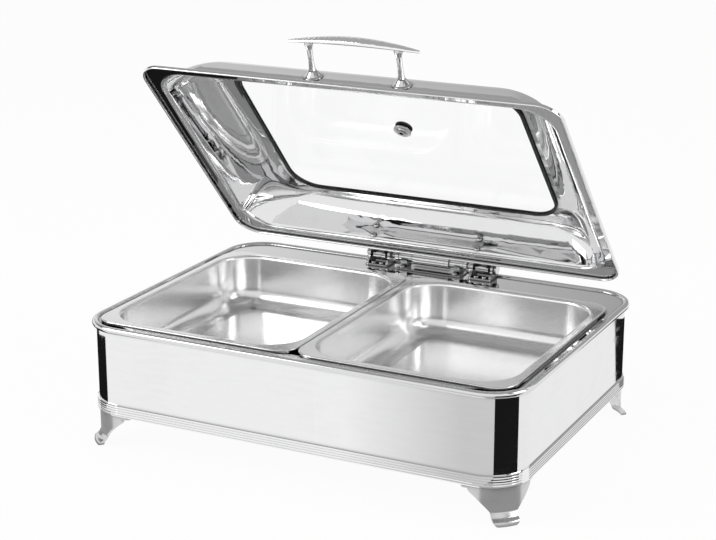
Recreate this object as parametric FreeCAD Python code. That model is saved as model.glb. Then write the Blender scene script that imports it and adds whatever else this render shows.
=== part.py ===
import FreeCAD, Part
import math
import os

# Electric chafing dish, millimetres. +Z is up, the long front faces -Y.
# The origin is on the table, under the middle of the base.
# Lid pieces are drawn with the lid shut and then turned up to the rest angle.

# Overall base
BODY_X = 548.0
BODY_Y = 394.0
BODY_R = 46.5
SHEET = 1.0
FOOT_H = 43.0
BAND_H = 14.5
WALL_H = 106.8

# Rolled rim of the top frame
RIM_OUT = 5.0
BEAD_R = 4.0
LEDGE_DROP = 3.0

# Food pans: half-size pans, 325 x 265 over the flanges, 65 deep
PAN_L = 325.0
PAN_W = 264.0
PAN_DEPTH = 65.0
PAN_FLANGE = 11.5
PAN_FLANGE_R = 26.0
PAN_R = 45.0
PAN_DRAFT = 4.0
PAN_FLOOR_R = 22.0
PAN_LIP = 3.4
PAN_SIDE_GAP = 0.25
PAN_BACK_SHIFT = 25.0
PAN_STEP = 1.2

# Water pan under them
WATER_GAP = 3.0
WATER_DEPTH = 74.5
WATER_FLOOR_R = 12.0
WATER_DRAFT = 2.0
WATER_BEND = 3.0
WATER_FLANGE = 8.0

# Lid
LID_X = 533.0
LID_FRONT = -192.2
LID_BACK = 165.3
LID_R = 30.0
LID_SEAT = 5.5
LID_EDGE = 5.0
LID_HEM = 2.4
LID_FLANGE = 12.0
FOOT_R = 6.0
DOME_H = 50.0
DOME_R = 40.0
WALL_FRONT = 70.0
WALL_BACK = 83.0
REST_ANGLE = 47.5

# Window
GLASS_T = 4.0
WINDOW_X = 367.0
WINDOW_Y = 241.0
WINDOW_BACK = 50.0
WINDOW_R = 35.0
WINDOW_LAND = 8.0
SEAL_W = 3.2
SEAL_LIP = 1.1
SEAL_H = 6.0

# Steam vent
VENT_X = 18.0
VENT_BACK = 205.5
VENT_HOLE = 12.0
VENT_D = 22.0
VENT_BORE = 5.0

# Handle
HANDLE_X = 9.0
POST_SPACING = 113.0
POST_LEN = 43.0
POST_R = 3.2
POST_TOP_R = 5.4
ROSETTE_R = 11.5
ROSETTE_H = 8.0
GRIP_LEN = 166.0
GRIP_W = 16.0
GRIP_T = 9.0
GRIP_TIP = 3.2
GRIP_RISE = 3.0
HANDLE_UP = 23.0
WASHER_T = 0.8
WASHER_SEAT = 0.4

# Hinge
HINGE_X = 5.0
HINGE_Y = 185.4
HINGE_Z = 163.4
SHAFT_R = 4.0
SHAFT_FIT = 0.05
BRACKET_X = 72.0
BRACKET_W = 30.0
BRACKET_T = 3.0
EAR_R = 9.0
ARM_W = 17.0
ARM_T = 3.0
ARM_CHEEK = 3.2
HUB_R = 8.0
BARREL_R = 7.5
BARREL_L = 100.0
BARREL_END_R = 5.6
BARREL_MIDDLE = 50.0
BARREL_CAVITY_R = 6.0
BARREL_CAVITY_L = 42.0

# Heating and control
SPREADER_X = 420.0
SPREADER_Y = 220.0
SPREADER_T = 3.0
ELEMENT_R = 4.0
ELEMENT_BEND = 24.0
SHIELD_T = 0.8
SHIELD_GAP = 12.0
CONTROL_Z = 92.0
KNOB_IN = 124.0
KNOB_R = 19.0
KNOB_H = 12.0
LAMP_IN = 169.0
LAMP_R = 5.0
INLET_IN = 59.0

# Fasteners
SCREW_R = 2.0
SCREW_HEAD_R = 3.5
SCREW_HEAD_H = 2.2
HOLE_GAP = 0.2
FIT = 0.1

# Levels and outlines that follow from the sizes above
Z_BAND = FOOT_H
Z_BAND_TOP = Z_BAND + BAND_H
Z_RIM = Z_BAND + WALL_H - BEAD_R
Z_BEAD_TOP = Z_RIM + 2 * BEAD_R
Z_LEDGE = Z_BEAD_TOP - LEDGE_DROP
Z_WATER_FLANGE = Z_LEDGE + SHEET
Z_PAN = Z_WATER_FLANGE + 4.0
Z_WATER_FLOOR = Z_WATER_FLANGE - WATER_DEPTH
KNOB_X = BODY_X / 2 - KNOB_IN
LAMP_X = BODY_X / 2 - LAMP_IN
INLET_X = BODY_X / 2 - INLET_IN
RIM_X = BODY_X + 2 * RIM_OUT
RIM_Y = BODY_Y + 2 * RIM_OUT
RIM_R = BODY_R + RIM_OUT
PAN_Y = -PAN_BACK_SHIFT
Z_LID_RIM = Z_LEDGE + LID_SEAT
Z_LID_FLANGE = Z_LID_RIM + LID_EDGE
Z_LID_TOP = Z_LID_FLANGE + DOME_H
WINDOW_CY = LID_BACK - WINDOW_BACK - WINDOW_Y / 2
VENT_Y = LID_BACK - VENT_BACK


def vec(x, y, z):
    return FreeCAD.Vector(x, y, z)


def save(name, shape):
    shape.exportStep("parts/" + name + ".step")


def group(shapes):
    return Part.makeCompound(shapes)


def join(shapes):
    whole = shapes[0].fuse(shapes[1:])
    return whole.removeSplitter()


def box(x0, x1, y0, y1, z0, z1):
    return Part.makeBox(x1 - x0, y1 - y0, z1 - z0, vec(x0, y0, z0))


def rod(x, y, z0, z1, r):
    return Part.makeCylinder(r, z1 - z0, vec(x, y, z0))


def bar_x(x0, x1, y, z, r):
    return Part.makeCylinder(r, x1 - x0, vec(x0, y, z), vec(1, 0, 0))


def bar_y(x, y0, y1, z, r):
    return Part.makeCylinder(r, y1 - y0, vec(x, y0, z), vec(0, 1, 0))


def rect_wire(x0, x1, y0, y1, r, z):
    """Rounded rectangle at height z."""
    k = r * (1 - math.sqrt(0.5))
    p = [
        (vec(x1, y0 + r, z), vec(x1, y1 - r, z), vec(x1 - k, y1 - k, z)),
        (vec(x1 - r, y1, z), vec(x0 + r, y1, z), vec(x0 + k, y1 - k, z)),
        (vec(x0, y1 - r, z), vec(x0, y0 + r, z), vec(x0 + k, y0 + k, z)),
        (vec(x0 + r, y0, z), vec(x1 - r, y0, z), vec(x1 - k, y0 + k, z)),
    ]
    edges = []
    for i, (a, b, mid) in enumerate(p):
        nxt = p[(i + 1) % 4][0]
        edges.append(Part.LineSegment(a, b).toShape())
        edges.append(Part.Arc(b, mid, nxt).toShape())
    return Part.Wire(edges)


def slab(x0, x1, y0, y1, r, z0, z1):
    face = Part.Face(rect_wire(x0, x1, y0, y1, r, z0))
    return face.extrude(vec(0, 0, z1 - z0))


def outline(points, to3d):
    """Closed outline with rounded vertices: points are (a, b) or (a, b, radius)."""
    n = len(points)
    cuts = []
    for i in range(n):
        p = points[i]
        prev = points[i - 1]
        nxt = points[(i + 1) % n]
        r = p[2] if len(p) > 2 else 0.0
        ax, ay = prev[0] - p[0], prev[1] - p[1]
        bx, by = nxt[0] - p[0], nxt[1] - p[1]
        la, lb = math.hypot(ax, ay), math.hypot(bx, by)
        ax, ay, bx, by = ax / la, ay / la, bx / lb, by / lb
        dot = max(-1.0, min(1.0, ax * bx + ay * by))
        half = math.acos(dot) / 2
        if r < 1e-6 or half > math.pi / 2 - 1e-4:
            cuts.append(((p[0], p[1]), None, (p[0], p[1])))
            continue
        cut = r / math.tan(half)
        mx, my = ax + bx, ay + by
        lm = math.hypot(mx, my)
        away = r / math.sin(half) - r
        mid = (p[0] + mx / lm * away, p[1] + my / lm * away)
        start = (p[0] + ax * cut, p[1] + ay * cut)
        end = (p[0] + bx * cut, p[1] + by * cut)
        cuts.append((start, mid, end))
    edges = []
    for i in range(n):
        start, mid, end = cuts[i]
        if mid is not None:
            edges.append(Part.Arc(to3d(*start), to3d(*mid), to3d(*end)).toShape())
        after = cuts[(i + 1) % n][0]
        if math.hypot(after[0] - end[0], after[1] - end[1]) > 1e-6:
            edges.append(Part.LineSegment(to3d(*end), to3d(*after)).toShape())
    return Part.Wire(edges)


def strip(points, t):
    """Section of a sheet t thick, on the left of an open line of (a, b, radius) points."""
    n = len(points)
    normals = []
    for i in range(n - 1):
        dx = points[i + 1][0] - points[i][0]
        dy = points[i + 1][1] - points[i][1]
        length = math.hypot(dx, dy)
        normals.append((-dy / length, dx / length))
    other = []
    for i in range(n):
        p = points[i]
        r = p[2] if len(p) > 2 else 0.0
        if i == 0 or i == n - 1:
            nx, ny = normals[0] if i == 0 else normals[-1]
            other.append((p[0] + nx * t, p[1] + ny * t))
            continue
        ax, ay = normals[i - 1]
        bx, by = normals[i]
        scale = t / (1 + ax * bx + ay * by)
        turn = ax * by - ay * bx
        new_r = r - t if turn > 0 else r + t
        if r < 1e-6:
            new_r = 0.0
        other.append((p[0] + (ax + bx) * scale, p[1] + (ay + by) * scale, max(new_r, 0.0)))
    return list(points) + other[::-1]


def ring(points, x0, x1, y0, y1, r):
    """Sweep a closed section round a rounded rectangle: a is outward, b is height."""
    face = Part.Face(outline(points, lambda a, b: vec(a, 0, b)))
    pieces = []
    corner = face.translated(vec(r, 0, 0)).revolve(vec(0, 0, 0), vec(0, 0, 1), 90)
    spots = [(x1 - r, y1 - r, 0), (x0 + r, y1 - r, 90), (x0 + r, y0 + r, 180), (x1 - r, y0 + r, 270)]
    for x, y, turn in spots:
        piece = corner.copy()
        piece.rotate(vec(0, 0, 0), vec(0, 0, 1), turn)
        piece.translate(vec(x, y, 0))
        pieces.append(piece)
    sides = [
        (x1, y0 + r, y1 - y0 - 2 * r, 0),
        (x1 - r, y1, x1 - x0 - 2 * r, 90),
        (x0, y1 - r, y1 - y0 - 2 * r, 180),
        (x0 + r, y0, x1 - x0 - 2 * r, 270),
    ]
    for x, y, length, turn in sides:
        piece = face.extrude(vec(0, length, 0))
        piece.rotate(vec(0, 0, 0), vec(0, 0, 1), turn)
        piece.translate(vec(x, y, 0))
        pieces.append(piece)
    return join(pieces)


def side_plate(points, x0, x1):
    """Plate with an outline in the YZ plane, from x0 to x1."""
    wire = outline(points, lambda a, b: vec(x0, a, b))
    return Part.Face(wire).extrude(vec(x1 - x0, 0, 0))


def lathe(points, x=0.0, y=0.0):
    """Turned solid about a vertical axis: points are (radius, height)."""
    wire = outline(points, lambda a, b: vec(a, 0, b))
    solid = Part.Face(wire).revolve(vec(0, 0, 0), vec(0, 0, 1), 360)
    solid.translate(vec(x, y, 0))
    return solid


def tube(points, bend, r):
    """Round bar of radius r along a polyline with rounded bends."""
    edges = []
    last = vec(*points[0])
    for i in range(1, len(points) - 1):
        p = vec(*points[i])
        a = vec(*points[i - 1]).sub(p).normalize()
        b = vec(*points[i + 1]).sub(p).normalize()
        half = a.getAngle(b) / 2
        cut = bend / math.tan(half)
        start = p + a * cut
        end = p + b * cut
        mid = p + (a + b).normalize() * (bend / math.sin(half) - bend)
        edges.append(Part.LineSegment(last, start).toShape())
        edges.append(Part.Arc(start, mid, end).toShape())
        last = end
    edges.append(Part.LineSegment(last, vec(*points[-1])).toShape())
    path = Part.Wire(edges)
    along = vec(*points[1]).sub(vec(*points[0]))
    section = Part.Wire(Part.Circle(vec(*points[0]), along, r).toShape())
    return path.makePipeShell([section], True, False)


def screw(length, r=SCREW_R, head_r=SCREW_HEAD_R, head_h=SCREW_HEAD_H):
    """Pan head above z = 0, shank below, slot across the head."""
    head = lathe([(0, 0), (head_r, 0), (head_r, head_h, 1.2), (0, head_h)])
    shank = rod(0, 0, -length, 0.2, r)
    slot = box(-head_r, head_r, -0.4, 0.4, head_h - 0.8, head_h + 1)
    return join([head, shank]).cut(slot)


def placed(shape, x, y, z, axis=None, angle=0.0):
    piece = shape.copy()
    if axis is not None:
        piece.rotate(vec(0, 0, 0), axis, angle)
    piece.translate(vec(x, y, z))
    return piece


def lid_up(shape):
    """Turn a lid piece from shut to its rest angle."""
    piece = shape.copy()
    piece.rotate(vec(0, HINGE_Y, HINGE_Z), vec(1, 0, 0), -REST_ANGLE)
    return piece


def body_rect(grow=0.0):
    x = BODY_X / 2 + grow
    y = BODY_Y / 2 + grow
    return (-x, x, -y, y, BODY_R + grow)


def rim_rect(grow=0.0):
    x = RIM_X / 2 + grow
    y = RIM_Y / 2 + grow
    return (-x, x, -y, y, RIM_R + grow)


def water_rect(grow=0.0):
    """Inside wall of the water pan: clears both food pans all round."""
    x = PAN_W - PAN_FLANGE + WATER_GAP + grow
    y = PAN_L / 2 - PAN_FLANGE + WATER_GAP + grow
    return (-x, x, PAN_Y - y, PAN_Y + y, PAN_R + WATER_GAP + grow)


def lid_rect(grow=0.0):
    x = LID_X / 2 + grow
    return (-x, x, LID_FRONT - grow, LID_BACK + grow, LID_R + grow)


def window_rect(grow=0.0):
    x = WINDOW_X / 2 + grow
    y = WINDOW_Y / 2 + grow
    return (-x, x, WINDOW_CY - y, WINDOW_CY + y, WINDOW_R + grow)


# Rear wall openings, shared by the shell and the parts that fill them

BACK_OUT = BODY_Y / 2
BACK_IN = BACK_OUT - SHEET
INLET_W = 30.0
INLET_TALL = 22.0
SHAFT_HOLE_R = 4.5

FOOT_SCREW_IN = 22.0
PLATE_SCREWS = [(-150.0, -1), (150.0, -1), (-150.0, 1), (150.0, 1)]
PLATE_SCREW_IN = 8.0
PLATE_T = 1.2


def base_shell():
    top = Z_LEDGE - SHEET
    section = strip(
        [
            (-14, Z_BAND),
            (0, Z_BAND, 2.0),
            (0, top, 2.0),
            (-11, top),
        ],
        SHEET,
    )
    shell = ring(section, *body_rect())
    cuts = [
        box(
            INLET_X - INLET_W / 2 - HOLE_GAP,
            INLET_X + INLET_W / 2 + HOLE_GAP,
            BACK_IN - 5,
            BACK_OUT + 5,
            CONTROL_Z - INLET_TALL / 2 - HOLE_GAP,
            CONTROL_Z + INLET_TALL / 2 + HOLE_GAP,
        ),
        bar_y(KNOB_X, BACK_IN - 5, BACK_OUT + 5, CONTROL_Z, SHAFT_HOLE_R),
        bar_y(LAMP_X, BACK_IN - 5, BACK_OUT + 5, CONTROL_Z, LAMP_R + HOLE_GAP),
    ]
    for side in (-1, 1):
        x = INLET_X + side * (INLET_W / 2 + 5)
        cuts.append(bar_y(x, BACK_IN - 5, BACK_OUT + 5, CONTROL_Z, 1.5 + HOLE_GAP))
    for x, y in plate_screw_spots():
        cuts.append(rod(x, y, Z_BAND - 1, Z_BAND + 5, SCREW_R + HOLE_GAP))
    return shell.cut(cuts)


def plate_screw_spots():
    y = BODY_Y / 2 - PLATE_SCREW_IN
    return [(x, side * y) for x, side in PLATE_SCREWS]


def foot_screw_spots(sx, sy):
    """Two screws through the top flange of a corner foot."""
    cx = BODY_X / 2 - FOOT_SCREW_IN
    cy = BODY_Y / 2 - FOOT_SCREW_IN
    return [(sx * (cx - 14), sy * (cy + 1)), (sx * (cx + 1), sy * (cy - 14))]


def bottom_plate():
    z = Z_BAND + SHEET
    plate = slab(*body_rect(-SHEET - 1.0), z, z + PLATE_T)
    cuts = []
    for row in (-1, 1):
        for i in range(9):
            x = -120 + 30 * i
            y = PAN_Y + row * 62
            cuts.append(slab(x - 3, x + 3, y - 28, y + 28, 2.9, z - 1, z + 5))
    for x, y in plate_screw_spots():
        cuts.append(rod(x, y, z - 1, z + 5, SCREW_R + FIT))
    for sx in (-1, 1):
        for sy in (-1, 1):
            for x, y in foot_screw_spots(sx, sy):
                cuts.append(rod(x, y, z - 1, z + 5, SCREW_R + FIT))
    for x, y in shield_spots():
        cuts.append(rod(x, y, z - 1, z + 5, SCREW_R + FIT))
    return plate.cut(cuts)


def lower_band():
    ribs = 5
    pitch = BAND_H / ribs
    points = [(0.0, Z_BAND)]
    for i in range(ribs):
        z = Z_BAND + pitch * i
        points.append((1.2, z))
        points.append((2.3, z + 0.3 * pitch))
        points.append((2.3, z + 0.7 * pitch))
    points.append((1.2, Z_BAND_TOP))
    points.append((0.0, Z_BAND_TOP))
    return ring(points, *body_rect())


def arc_points(cx, cz, r, a0, a1, steps):
    out = []
    for i in range(steps + 1):
        a = math.radians(a0 + (a1 - a0) * i / steps)
        out.append((cx + r * math.cos(a), cz + r * math.sin(a)))
    return out


def top_frame():
    cz = Z_RIM + BEAD_R
    inner = BEAD_R - SHEET
    drop = math.degrees(math.asin((Z_LEDGE - cz) / BEAD_R))
    start = -80.0
    outer_arc = arc_points(-BEAD_R, cz, BEAD_R, start, 180 - drop, 2)
    low = Z_LEDGE - SHEET
    meet = math.degrees(math.asin((low - cz) / inner))
    inner_arc = arc_points(-BEAD_R, cz, inner, 180 - meet, start, 2)
    far = -3 * BEAD_R

    def at(p):
        return vec(p[0], 0, p[1])

    edges = [
        Part.Arc(at(outer_arc[0]), at(outer_arc[1]), at(outer_arc[2])).toShape(),
        Part.LineSegment(at(outer_arc[2]), vec(far, 0, Z_LEDGE)).toShape(),
        Part.LineSegment(vec(far, 0, Z_LEDGE), vec(far, 0, low)).toShape(),
        Part.LineSegment(vec(far, 0, low), at(inner_arc[0])).toShape(),
        Part.Arc(at(inner_arc[0]), at(inner_arc[1]), at(inner_arc[2])).toShape(),
        Part.LineSegment(at(inner_arc[2]), at(outer_arc[0])).toShape(),
    ]
    bead = wire_ring(Part.Wire(edges), *rim_rect())
    deck = slab(*rim_rect(far + 0.5), low, Z_LEDGE)
    frame = join([bead, deck])
    cuts = [slab(*water_rect(WATER_BEND + FIT), low - 1, Z_LEDGE + 1)]
    for x, y in deck_screw_spots():
        cuts.append(rod(x, y, low - 1, Z_LEDGE + 1, SCREW_R + FIT))
    return frame.cut(cuts)


def wire_ring(wire, x0, x1, y0, y1, r):
    """Sweep a drawn section, like ring."""
    face = Part.Face(wire)
    pieces = []
    corner = face.translated(vec(r, 0, 0)).revolve(vec(0, 0, 0), vec(0, 0, 1), 90)
    corners = [(x1 - r, y1 - r), (x0 + r, y1 - r), (x0 + r, y0 + r), (x1 - r, y0 + r)]
    for i, (x, y) in enumerate(corners):
        pieces.append(placed(corner, x, y, 0, vec(0, 0, 1), 90 * i))
    wide = x1 - x0 - 2 * r
    deep = y1 - y0 - 2 * r
    sides = [(x1, y0 + r, deep), (x1 - r, y1, wide), (x0, y1 - r, deep), (x0 + r, y0, wide)]
    for i, (x, y, length) in enumerate(sides):
        turn = 90 * i
        pieces.append(placed(face.extrude(vec(0, length, 0)), x, y, 0, vec(0, 0, 1), turn))
    return join(pieces)


def foot(sx, sy):
    """Cast corner foot: a plate that follows the corner, cut to a neck, and a toe turned out below it."""
    wall = 3.0
    neck_z = 0.31 * FOOT_H
    top = Z_BAND
    x0, x1, y0, y1, r = body_rect()
    shell = slab(x0, x1, y0, y1, r, neck_z, top)
    shell = shell.cut(slab(*body_rect(-wall), neck_z - 1, top + 1))
    # Work in a frame with the corner's outward diagonal along +X.
    cx, cy = BODY_X / 2 - BODY_R, BODY_Y / 2 - BODY_R
    angle = 45.0
    shell.translate(vec(-cx, -cy, 0))
    shell.rotate(vec(0, 0, 0), vec(0, 0, 1), -angle)
    wing, neck = 36.0, 15.5
    shape = [
        (-wing, top),
        (-wing, top - 7, 4),
        (-wing + 5, top - 12, 6),
        (-neck - 5, neck_z + 6, 12),
        (-neck, neck_z),
        (neck, neck_z),
        (neck + 5, neck_z + 6, 12),
        (wing - 5, top - 12, 6),
        (wing, top - 7, 4),
        (wing, top),
    ]
    face = Part.Face(outline(shape, lambda a, b: vec(0, a, b)))
    plate = shell.common(face.extrude(vec(BODY_R + 20, 0, 0)))
    # Toe: runs on from the neck, follows the corner, turns out and comes down on its sole.
    toe = [
        (-wall, neck_z + 6),
        (-wall, neck_z - 1, 6),
        (2.4, 4.6, 5),
        (1.8, 0.0, 1.0),
        (8.2, 0.0, 1.5),
        (8.4, 5.0, 4),
        (3.0, neck_z - 5.0, 5),
        (0.0, neck_z + 1.0, 5),
        (0.0, neck_z + 6),
    ]
    turn = math.degrees(math.asin((neck + 3) / BODY_R))
    face = Part.Face(outline(toe, lambda a, b: vec(BODY_R + a, 0, b)))
    face.rotate(vec(0, 0, 0), vec(0, 0, 1), -turn)
    tongue = face.revolve(vec(0, 0, 0), vec(0, 0, 1), 2 * turn)
    trim = outline(
        [(-neck, 0, 7), (neck, 0, 7), (neck, neck_z + 12), (-neck, neck_z + 12)],
        lambda a, b: vec(0, a, b),
    )
    tongue = tongue.common(Part.Face(trim).extrude(vec(BODY_R + 20, 0, 0)))
    whole = join([plate, tongue])
    whole.rotate(vec(0, 0, 0), vec(0, 0, 1), angle)
    whole.translate(vec(cx, cy, 0))
    # Top flange under the bottom of the shell, inside the curved plate.
    flange = slab(cx - 16, x1, cy - 16, y1, 6, top - 3, top)
    flange = flange.common(slab(x0, x1, y0, y1, r, top - 3, top))
    whole = join([whole, flange])
    holes = []
    for x, y in foot_screw_spots(1, 1):
        holes.append(rod(x, y, top - 5, top + 1, SCREW_R + FIT))
    whole = whole.cut(holes)
    if sx < 0:
        whole = whole.mirror(vec(0, 0, 0), vec(1, 0, 0))
    if sy < 0:
        whole = whole.mirror(vec(0, 0, 0), vec(0, 1, 0))
    return whole


def base_screws():
    out = []
    length = 3.0 + SHEET + PLATE_T + 2.0
    for sx in (-1, 1):
        for sy in (-1, 1):
            for x, y in foot_screw_spots(sx, sy):
                out.append(placed(screw(length), x, y, Z_BAND - 3, vec(1, 0, 0), 180))
    for x, y in plate_screw_spots():
        out.append(placed(screw(length - 3), x, y, Z_BAND, vec(1, 0, 0), 180))
    return group(out)


def water_pan():
    section = strip(
        [
            (-30, Z_WATER_FLOOR),
            (-WATER_DRAFT, Z_WATER_FLOOR, WATER_FLOOR_R),
            (0, Z_WATER_FLANGE, WATER_BEND),
            (WATER_FLANGE, Z_WATER_FLANGE),
        ],
        -SHEET,
    )
    walls = ring(section, *water_rect())
    floor = slab(*water_rect(-29), Z_WATER_FLOOR - SHEET, Z_WATER_FLOOR)
    return join([walls, floor])


def food_pan(side):
    half_x = PAN_W / 2 - PAN_FLANGE
    half_y = PAN_L / 2 - PAN_FLANGE
    floor_z = Z_PAN - PAN_DEPTH + SHEET
    step_z = floor_z + PAN_STEP
    inner = strip(
        [
            (-40, step_z),
            (-33, step_z, 1.5),
            (-31, floor_z, 1.5),
            (-PAN_DRAFT, floor_z, PAN_FLOOR_R),
            (0, Z_PAN, 4),
            (7, Z_PAN),
        ],
        -SHEET,
    )
    hole = (-half_x, half_x, -half_y, half_y, PAN_R)
    walls = ring(inner, *hole)
    floor = slab(-half_x + 39, half_x - 39, -half_y + 39, half_y - 39, PAN_R - 39, step_z - SHEET, step_z)
    out_x = PAN_W / 2 - PAN_SIDE_GAP
    out_y = PAN_L / 2
    rim = strip(
        [
            (-6, Z_PAN),
            (0, Z_PAN, 1.6),
            (0, Z_PAN - PAN_LIP),
        ],
        -SHEET,
    )
    lip = ring(rim, -out_x, out_x, -out_y, out_y, PAN_FLANGE_R)
    top = slab(-out_x + 5, out_x - 5, -out_y + 5, out_y - 5, PAN_FLANGE_R - 5, Z_PAN - SHEET, Z_PAN)
    top = top.cut(slab(-half_x - 6, half_x + 6, -half_y - 6, half_y + 6, PAN_R + 6, Z_PAN - 5, Z_PAN + 5))
    pan = join([walls, floor, lip, top])
    pan.translate(vec(side * PAN_W / 2, PAN_Y, 0))
    return pan


# Heating parts under the water pan

Z_SPREADER = Z_WATER_FLOOR - SHEET - SPREADER_T
Z_ELEMENT = Z_SPREADER - ELEMENT_R
CLAMP_T = 1.2
CLAMP_X = 90.0
LOOP_X = 165.0
LOOP_FRONT = -80.0
LOOP_BACK = 70.0
LEG_X = 24.0
LEG_END = 118.0


def heat_spreader():
    x = SPREADER_X / 2
    y = SPREADER_Y / 2
    plate = slab(-x, x, PAN_Y - y, PAN_Y + y, 20, Z_SPREADER, Z_SPREADER + SPREADER_T)
    cuts = []
    for cx, cy in clamp_spots():
        for side in (-1, 1):
            cuts.append(rod(cx, cy + side * 11, Z_SPREADER - 1, Z_SPREADER + 2, 1.5 + FIT))
    return plate.cut(cuts)


def heating_element():
    y = PAN_Y
    path = [
        (-LEG_X, y + LEG_END, Z_ELEMENT),
        (-LEG_X, y + LOOP_BACK, Z_ELEMENT),
        (-LOOP_X, y + LOOP_BACK, Z_ELEMENT),
        (-LOOP_X, y + LOOP_FRONT, Z_ELEMENT),
        (LOOP_X, y + LOOP_FRONT, Z_ELEMENT),
        (LOOP_X, y + LOOP_BACK, Z_ELEMENT),
        (LEG_X, y + LOOP_BACK, Z_ELEMENT),
        (LEG_X, y + LEG_END, Z_ELEMENT),
    ]
    loop = tube(path, ELEMENT_BEND, ELEMENT_R)
    pins = []
    for side in (-1, 1):
        pins.append(bar_y(side * LEG_X, y + LEG_END - 1, y + LEG_END + 10, Z_ELEMENT, 1.6))
    return loop.fuse(pins)


def clamp_spots():
    return [(x, PAN_Y + y) for x in (-CLAMP_X, CLAMP_X) for y in (LOOP_FRONT, LOOP_BACK)]


def element_clamps():
    """Straps over the straight runs of the element, each with two short screws."""
    out = []
    r0 = ELEMENT_R + FIT
    r1 = r0 + CLAMP_T
    for cx, cy in clamp_spots():
        arch = bar_x(cx - 7, cx + 7, cy, Z_ELEMENT, r1).cut(bar_x(cx - 8, cx + 8, cy, Z_ELEMENT, r0))
        arch = arch.common(box(cx - 8, cx + 8, cy - 9, cy + 9, Z_ELEMENT - 10, Z_ELEMENT))
        legs = []
        for side in (-1, 1):
            a, b = sorted((cy + side * r0, cy + side * r1))
            legs.append(box(cx - 7, cx + 7, a, b, Z_ELEMENT, Z_SPREADER))
            c, d = sorted((cy + side * r0, cy + side * (r0 + 10)))
            tab = box(cx - 7, cx + 7, c, d, Z_SPREADER - CLAMP_T, Z_SPREADER)
            legs.append(tab)
        strap = join([arch] + legs)
        bolts = []
        for side in (-1, 1):
            y = cy + side * 11
            bolts.append(rod(cx, y, Z_SPREADER - CLAMP_T - 1.8, Z_SPREADER - CLAMP_T, 2.8))
            bolts.append(rod(cx, y, Z_SPREADER - CLAMP_T - 0.5, Z_SPREADER + 1.9, 1.5))
        out.append(join([strap] + bolts))
    return group(out)


SHIELD_SCREW_IN = 5.0
SHIELD_OUT = 15.0


def shield_spots():
    x = SPREADER_X / 2 - SHIELD_SCREW_IN
    y = SPREADER_Y / 2 - SHIELD_SCREW_IN
    return [(sx * x, PAN_Y + sy * y) for sx in (-1, 1) for sy in (-1, 1)]


Z_SHIELD = Z_BAND + SHEET + PLATE_T + 8.0


def heat_shield():
    """Shallow tray that throws the heat up, on four spacers."""
    x = SPREADER_X / 2 + SHIELD_OUT
    y = SPREADER_Y / 2 + SHIELD_OUT
    rect = (-x, x, PAN_Y - y, PAN_Y + y - 7, 14.0)
    section = strip(
        [
            (-12, Z_SHIELD + SHIELD_T),
            (-SHIELD_T, Z_SHIELD + SHIELD_T, 3),
            (-SHIELD_T, Z_SHIELD + SHIELD_GAP),
        ],
        -SHIELD_T,
    )
    edge = ring(section, *rect)
    x0, x1, y0, y1, r = rect
    floor = slab(x0 + 11, x1 - 11, y0 + 11, y1 - 11, 3, Z_SHIELD, Z_SHIELD + SHIELD_T)
    tray = join([edge, floor])
    cuts = []
    for x, y in shield_spots():
        cuts.append(rod(x, y, Z_SHIELD - 1, Z_SHIELD + 3, SCREW_R + FIT))
    return tray.cut(cuts)


def shield_spacers():
    out = []
    for x, y in shield_spots():
        z0 = Z_BAND + SHEET + PLATE_T
        out.append(rod(x, y, z0, Z_SHIELD, 5).cut(rod(x, y, z0 - 1, Z_SHIELD + 1, SCREW_R + FIT)))
    return group(out)


def shield_screws():
    out = []
    length = Z_SHIELD + SHIELD_T - Z_BAND - SHEET
    for x, y in shield_spots():
        out.append(placed(screw(length), x, y, Z_SHIELD + SHIELD_T))
    return group(out)


CUTOUT_Y = PAN_Y
CUTOUT_TAG = 6.0


def thermal_cutout():
    """Bimetal disc switch pressed to the underside of the spreader."""
    z = Z_SPREADER
    can = lathe([(0, z - 9), (8, z - 9), (8, z - 3.5), (7, z - 3.5), (7, z, 0.8), (0, z)], 0, CUTOUT_Y)
    ears = box(-14, 14, CUTOUT_Y - 4, CUTOUT_Y + 4, z - 4.3, z - 3.5)
    tags = []
    for side in (-1, 1):
        x = side * 4.0
        tags.append(box(x - 1.6, x + 1.6, CUTOUT_Y + 5, CUTOUT_Y + 16, z - CUTOUT_TAG - 0.4, z - CUTOUT_TAG + 0.4))
    return join([can, ears] + tags)


# Controls on the rear wall

BODY_BACK = BACK_IN - FIT
THERMOSTAT_DEEP = 26.0


def thermostat_body():
    depth = THERMOSTAT_DEEP
    body = box(KNOB_X - 18, KNOB_X + 18, BODY_BACK - depth, BODY_BACK, CONTROL_Z - 16, CONTROL_Z + 16)
    body = body.makeFillet(3, [e for e in body.Edges if abs(e.Vertexes[0].Y - e.Vertexes[1].Y) > 1])
    shaft = bar_y(KNOB_X, BODY_BACK - 2, BACK_OUT + KNOB_H - 1, CONTROL_Z, 3.0)
    tags = []
    for side in (-1, 1):
        x = KNOB_X + side * 9
        tags.append(box(x - 3, x + 3, BODY_BACK - depth - 8, BODY_BACK - depth + 1, CONTROL_Z - 0.4, CONTROL_Z + 0.4))
    return join([body, shaft] + tags)


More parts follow.
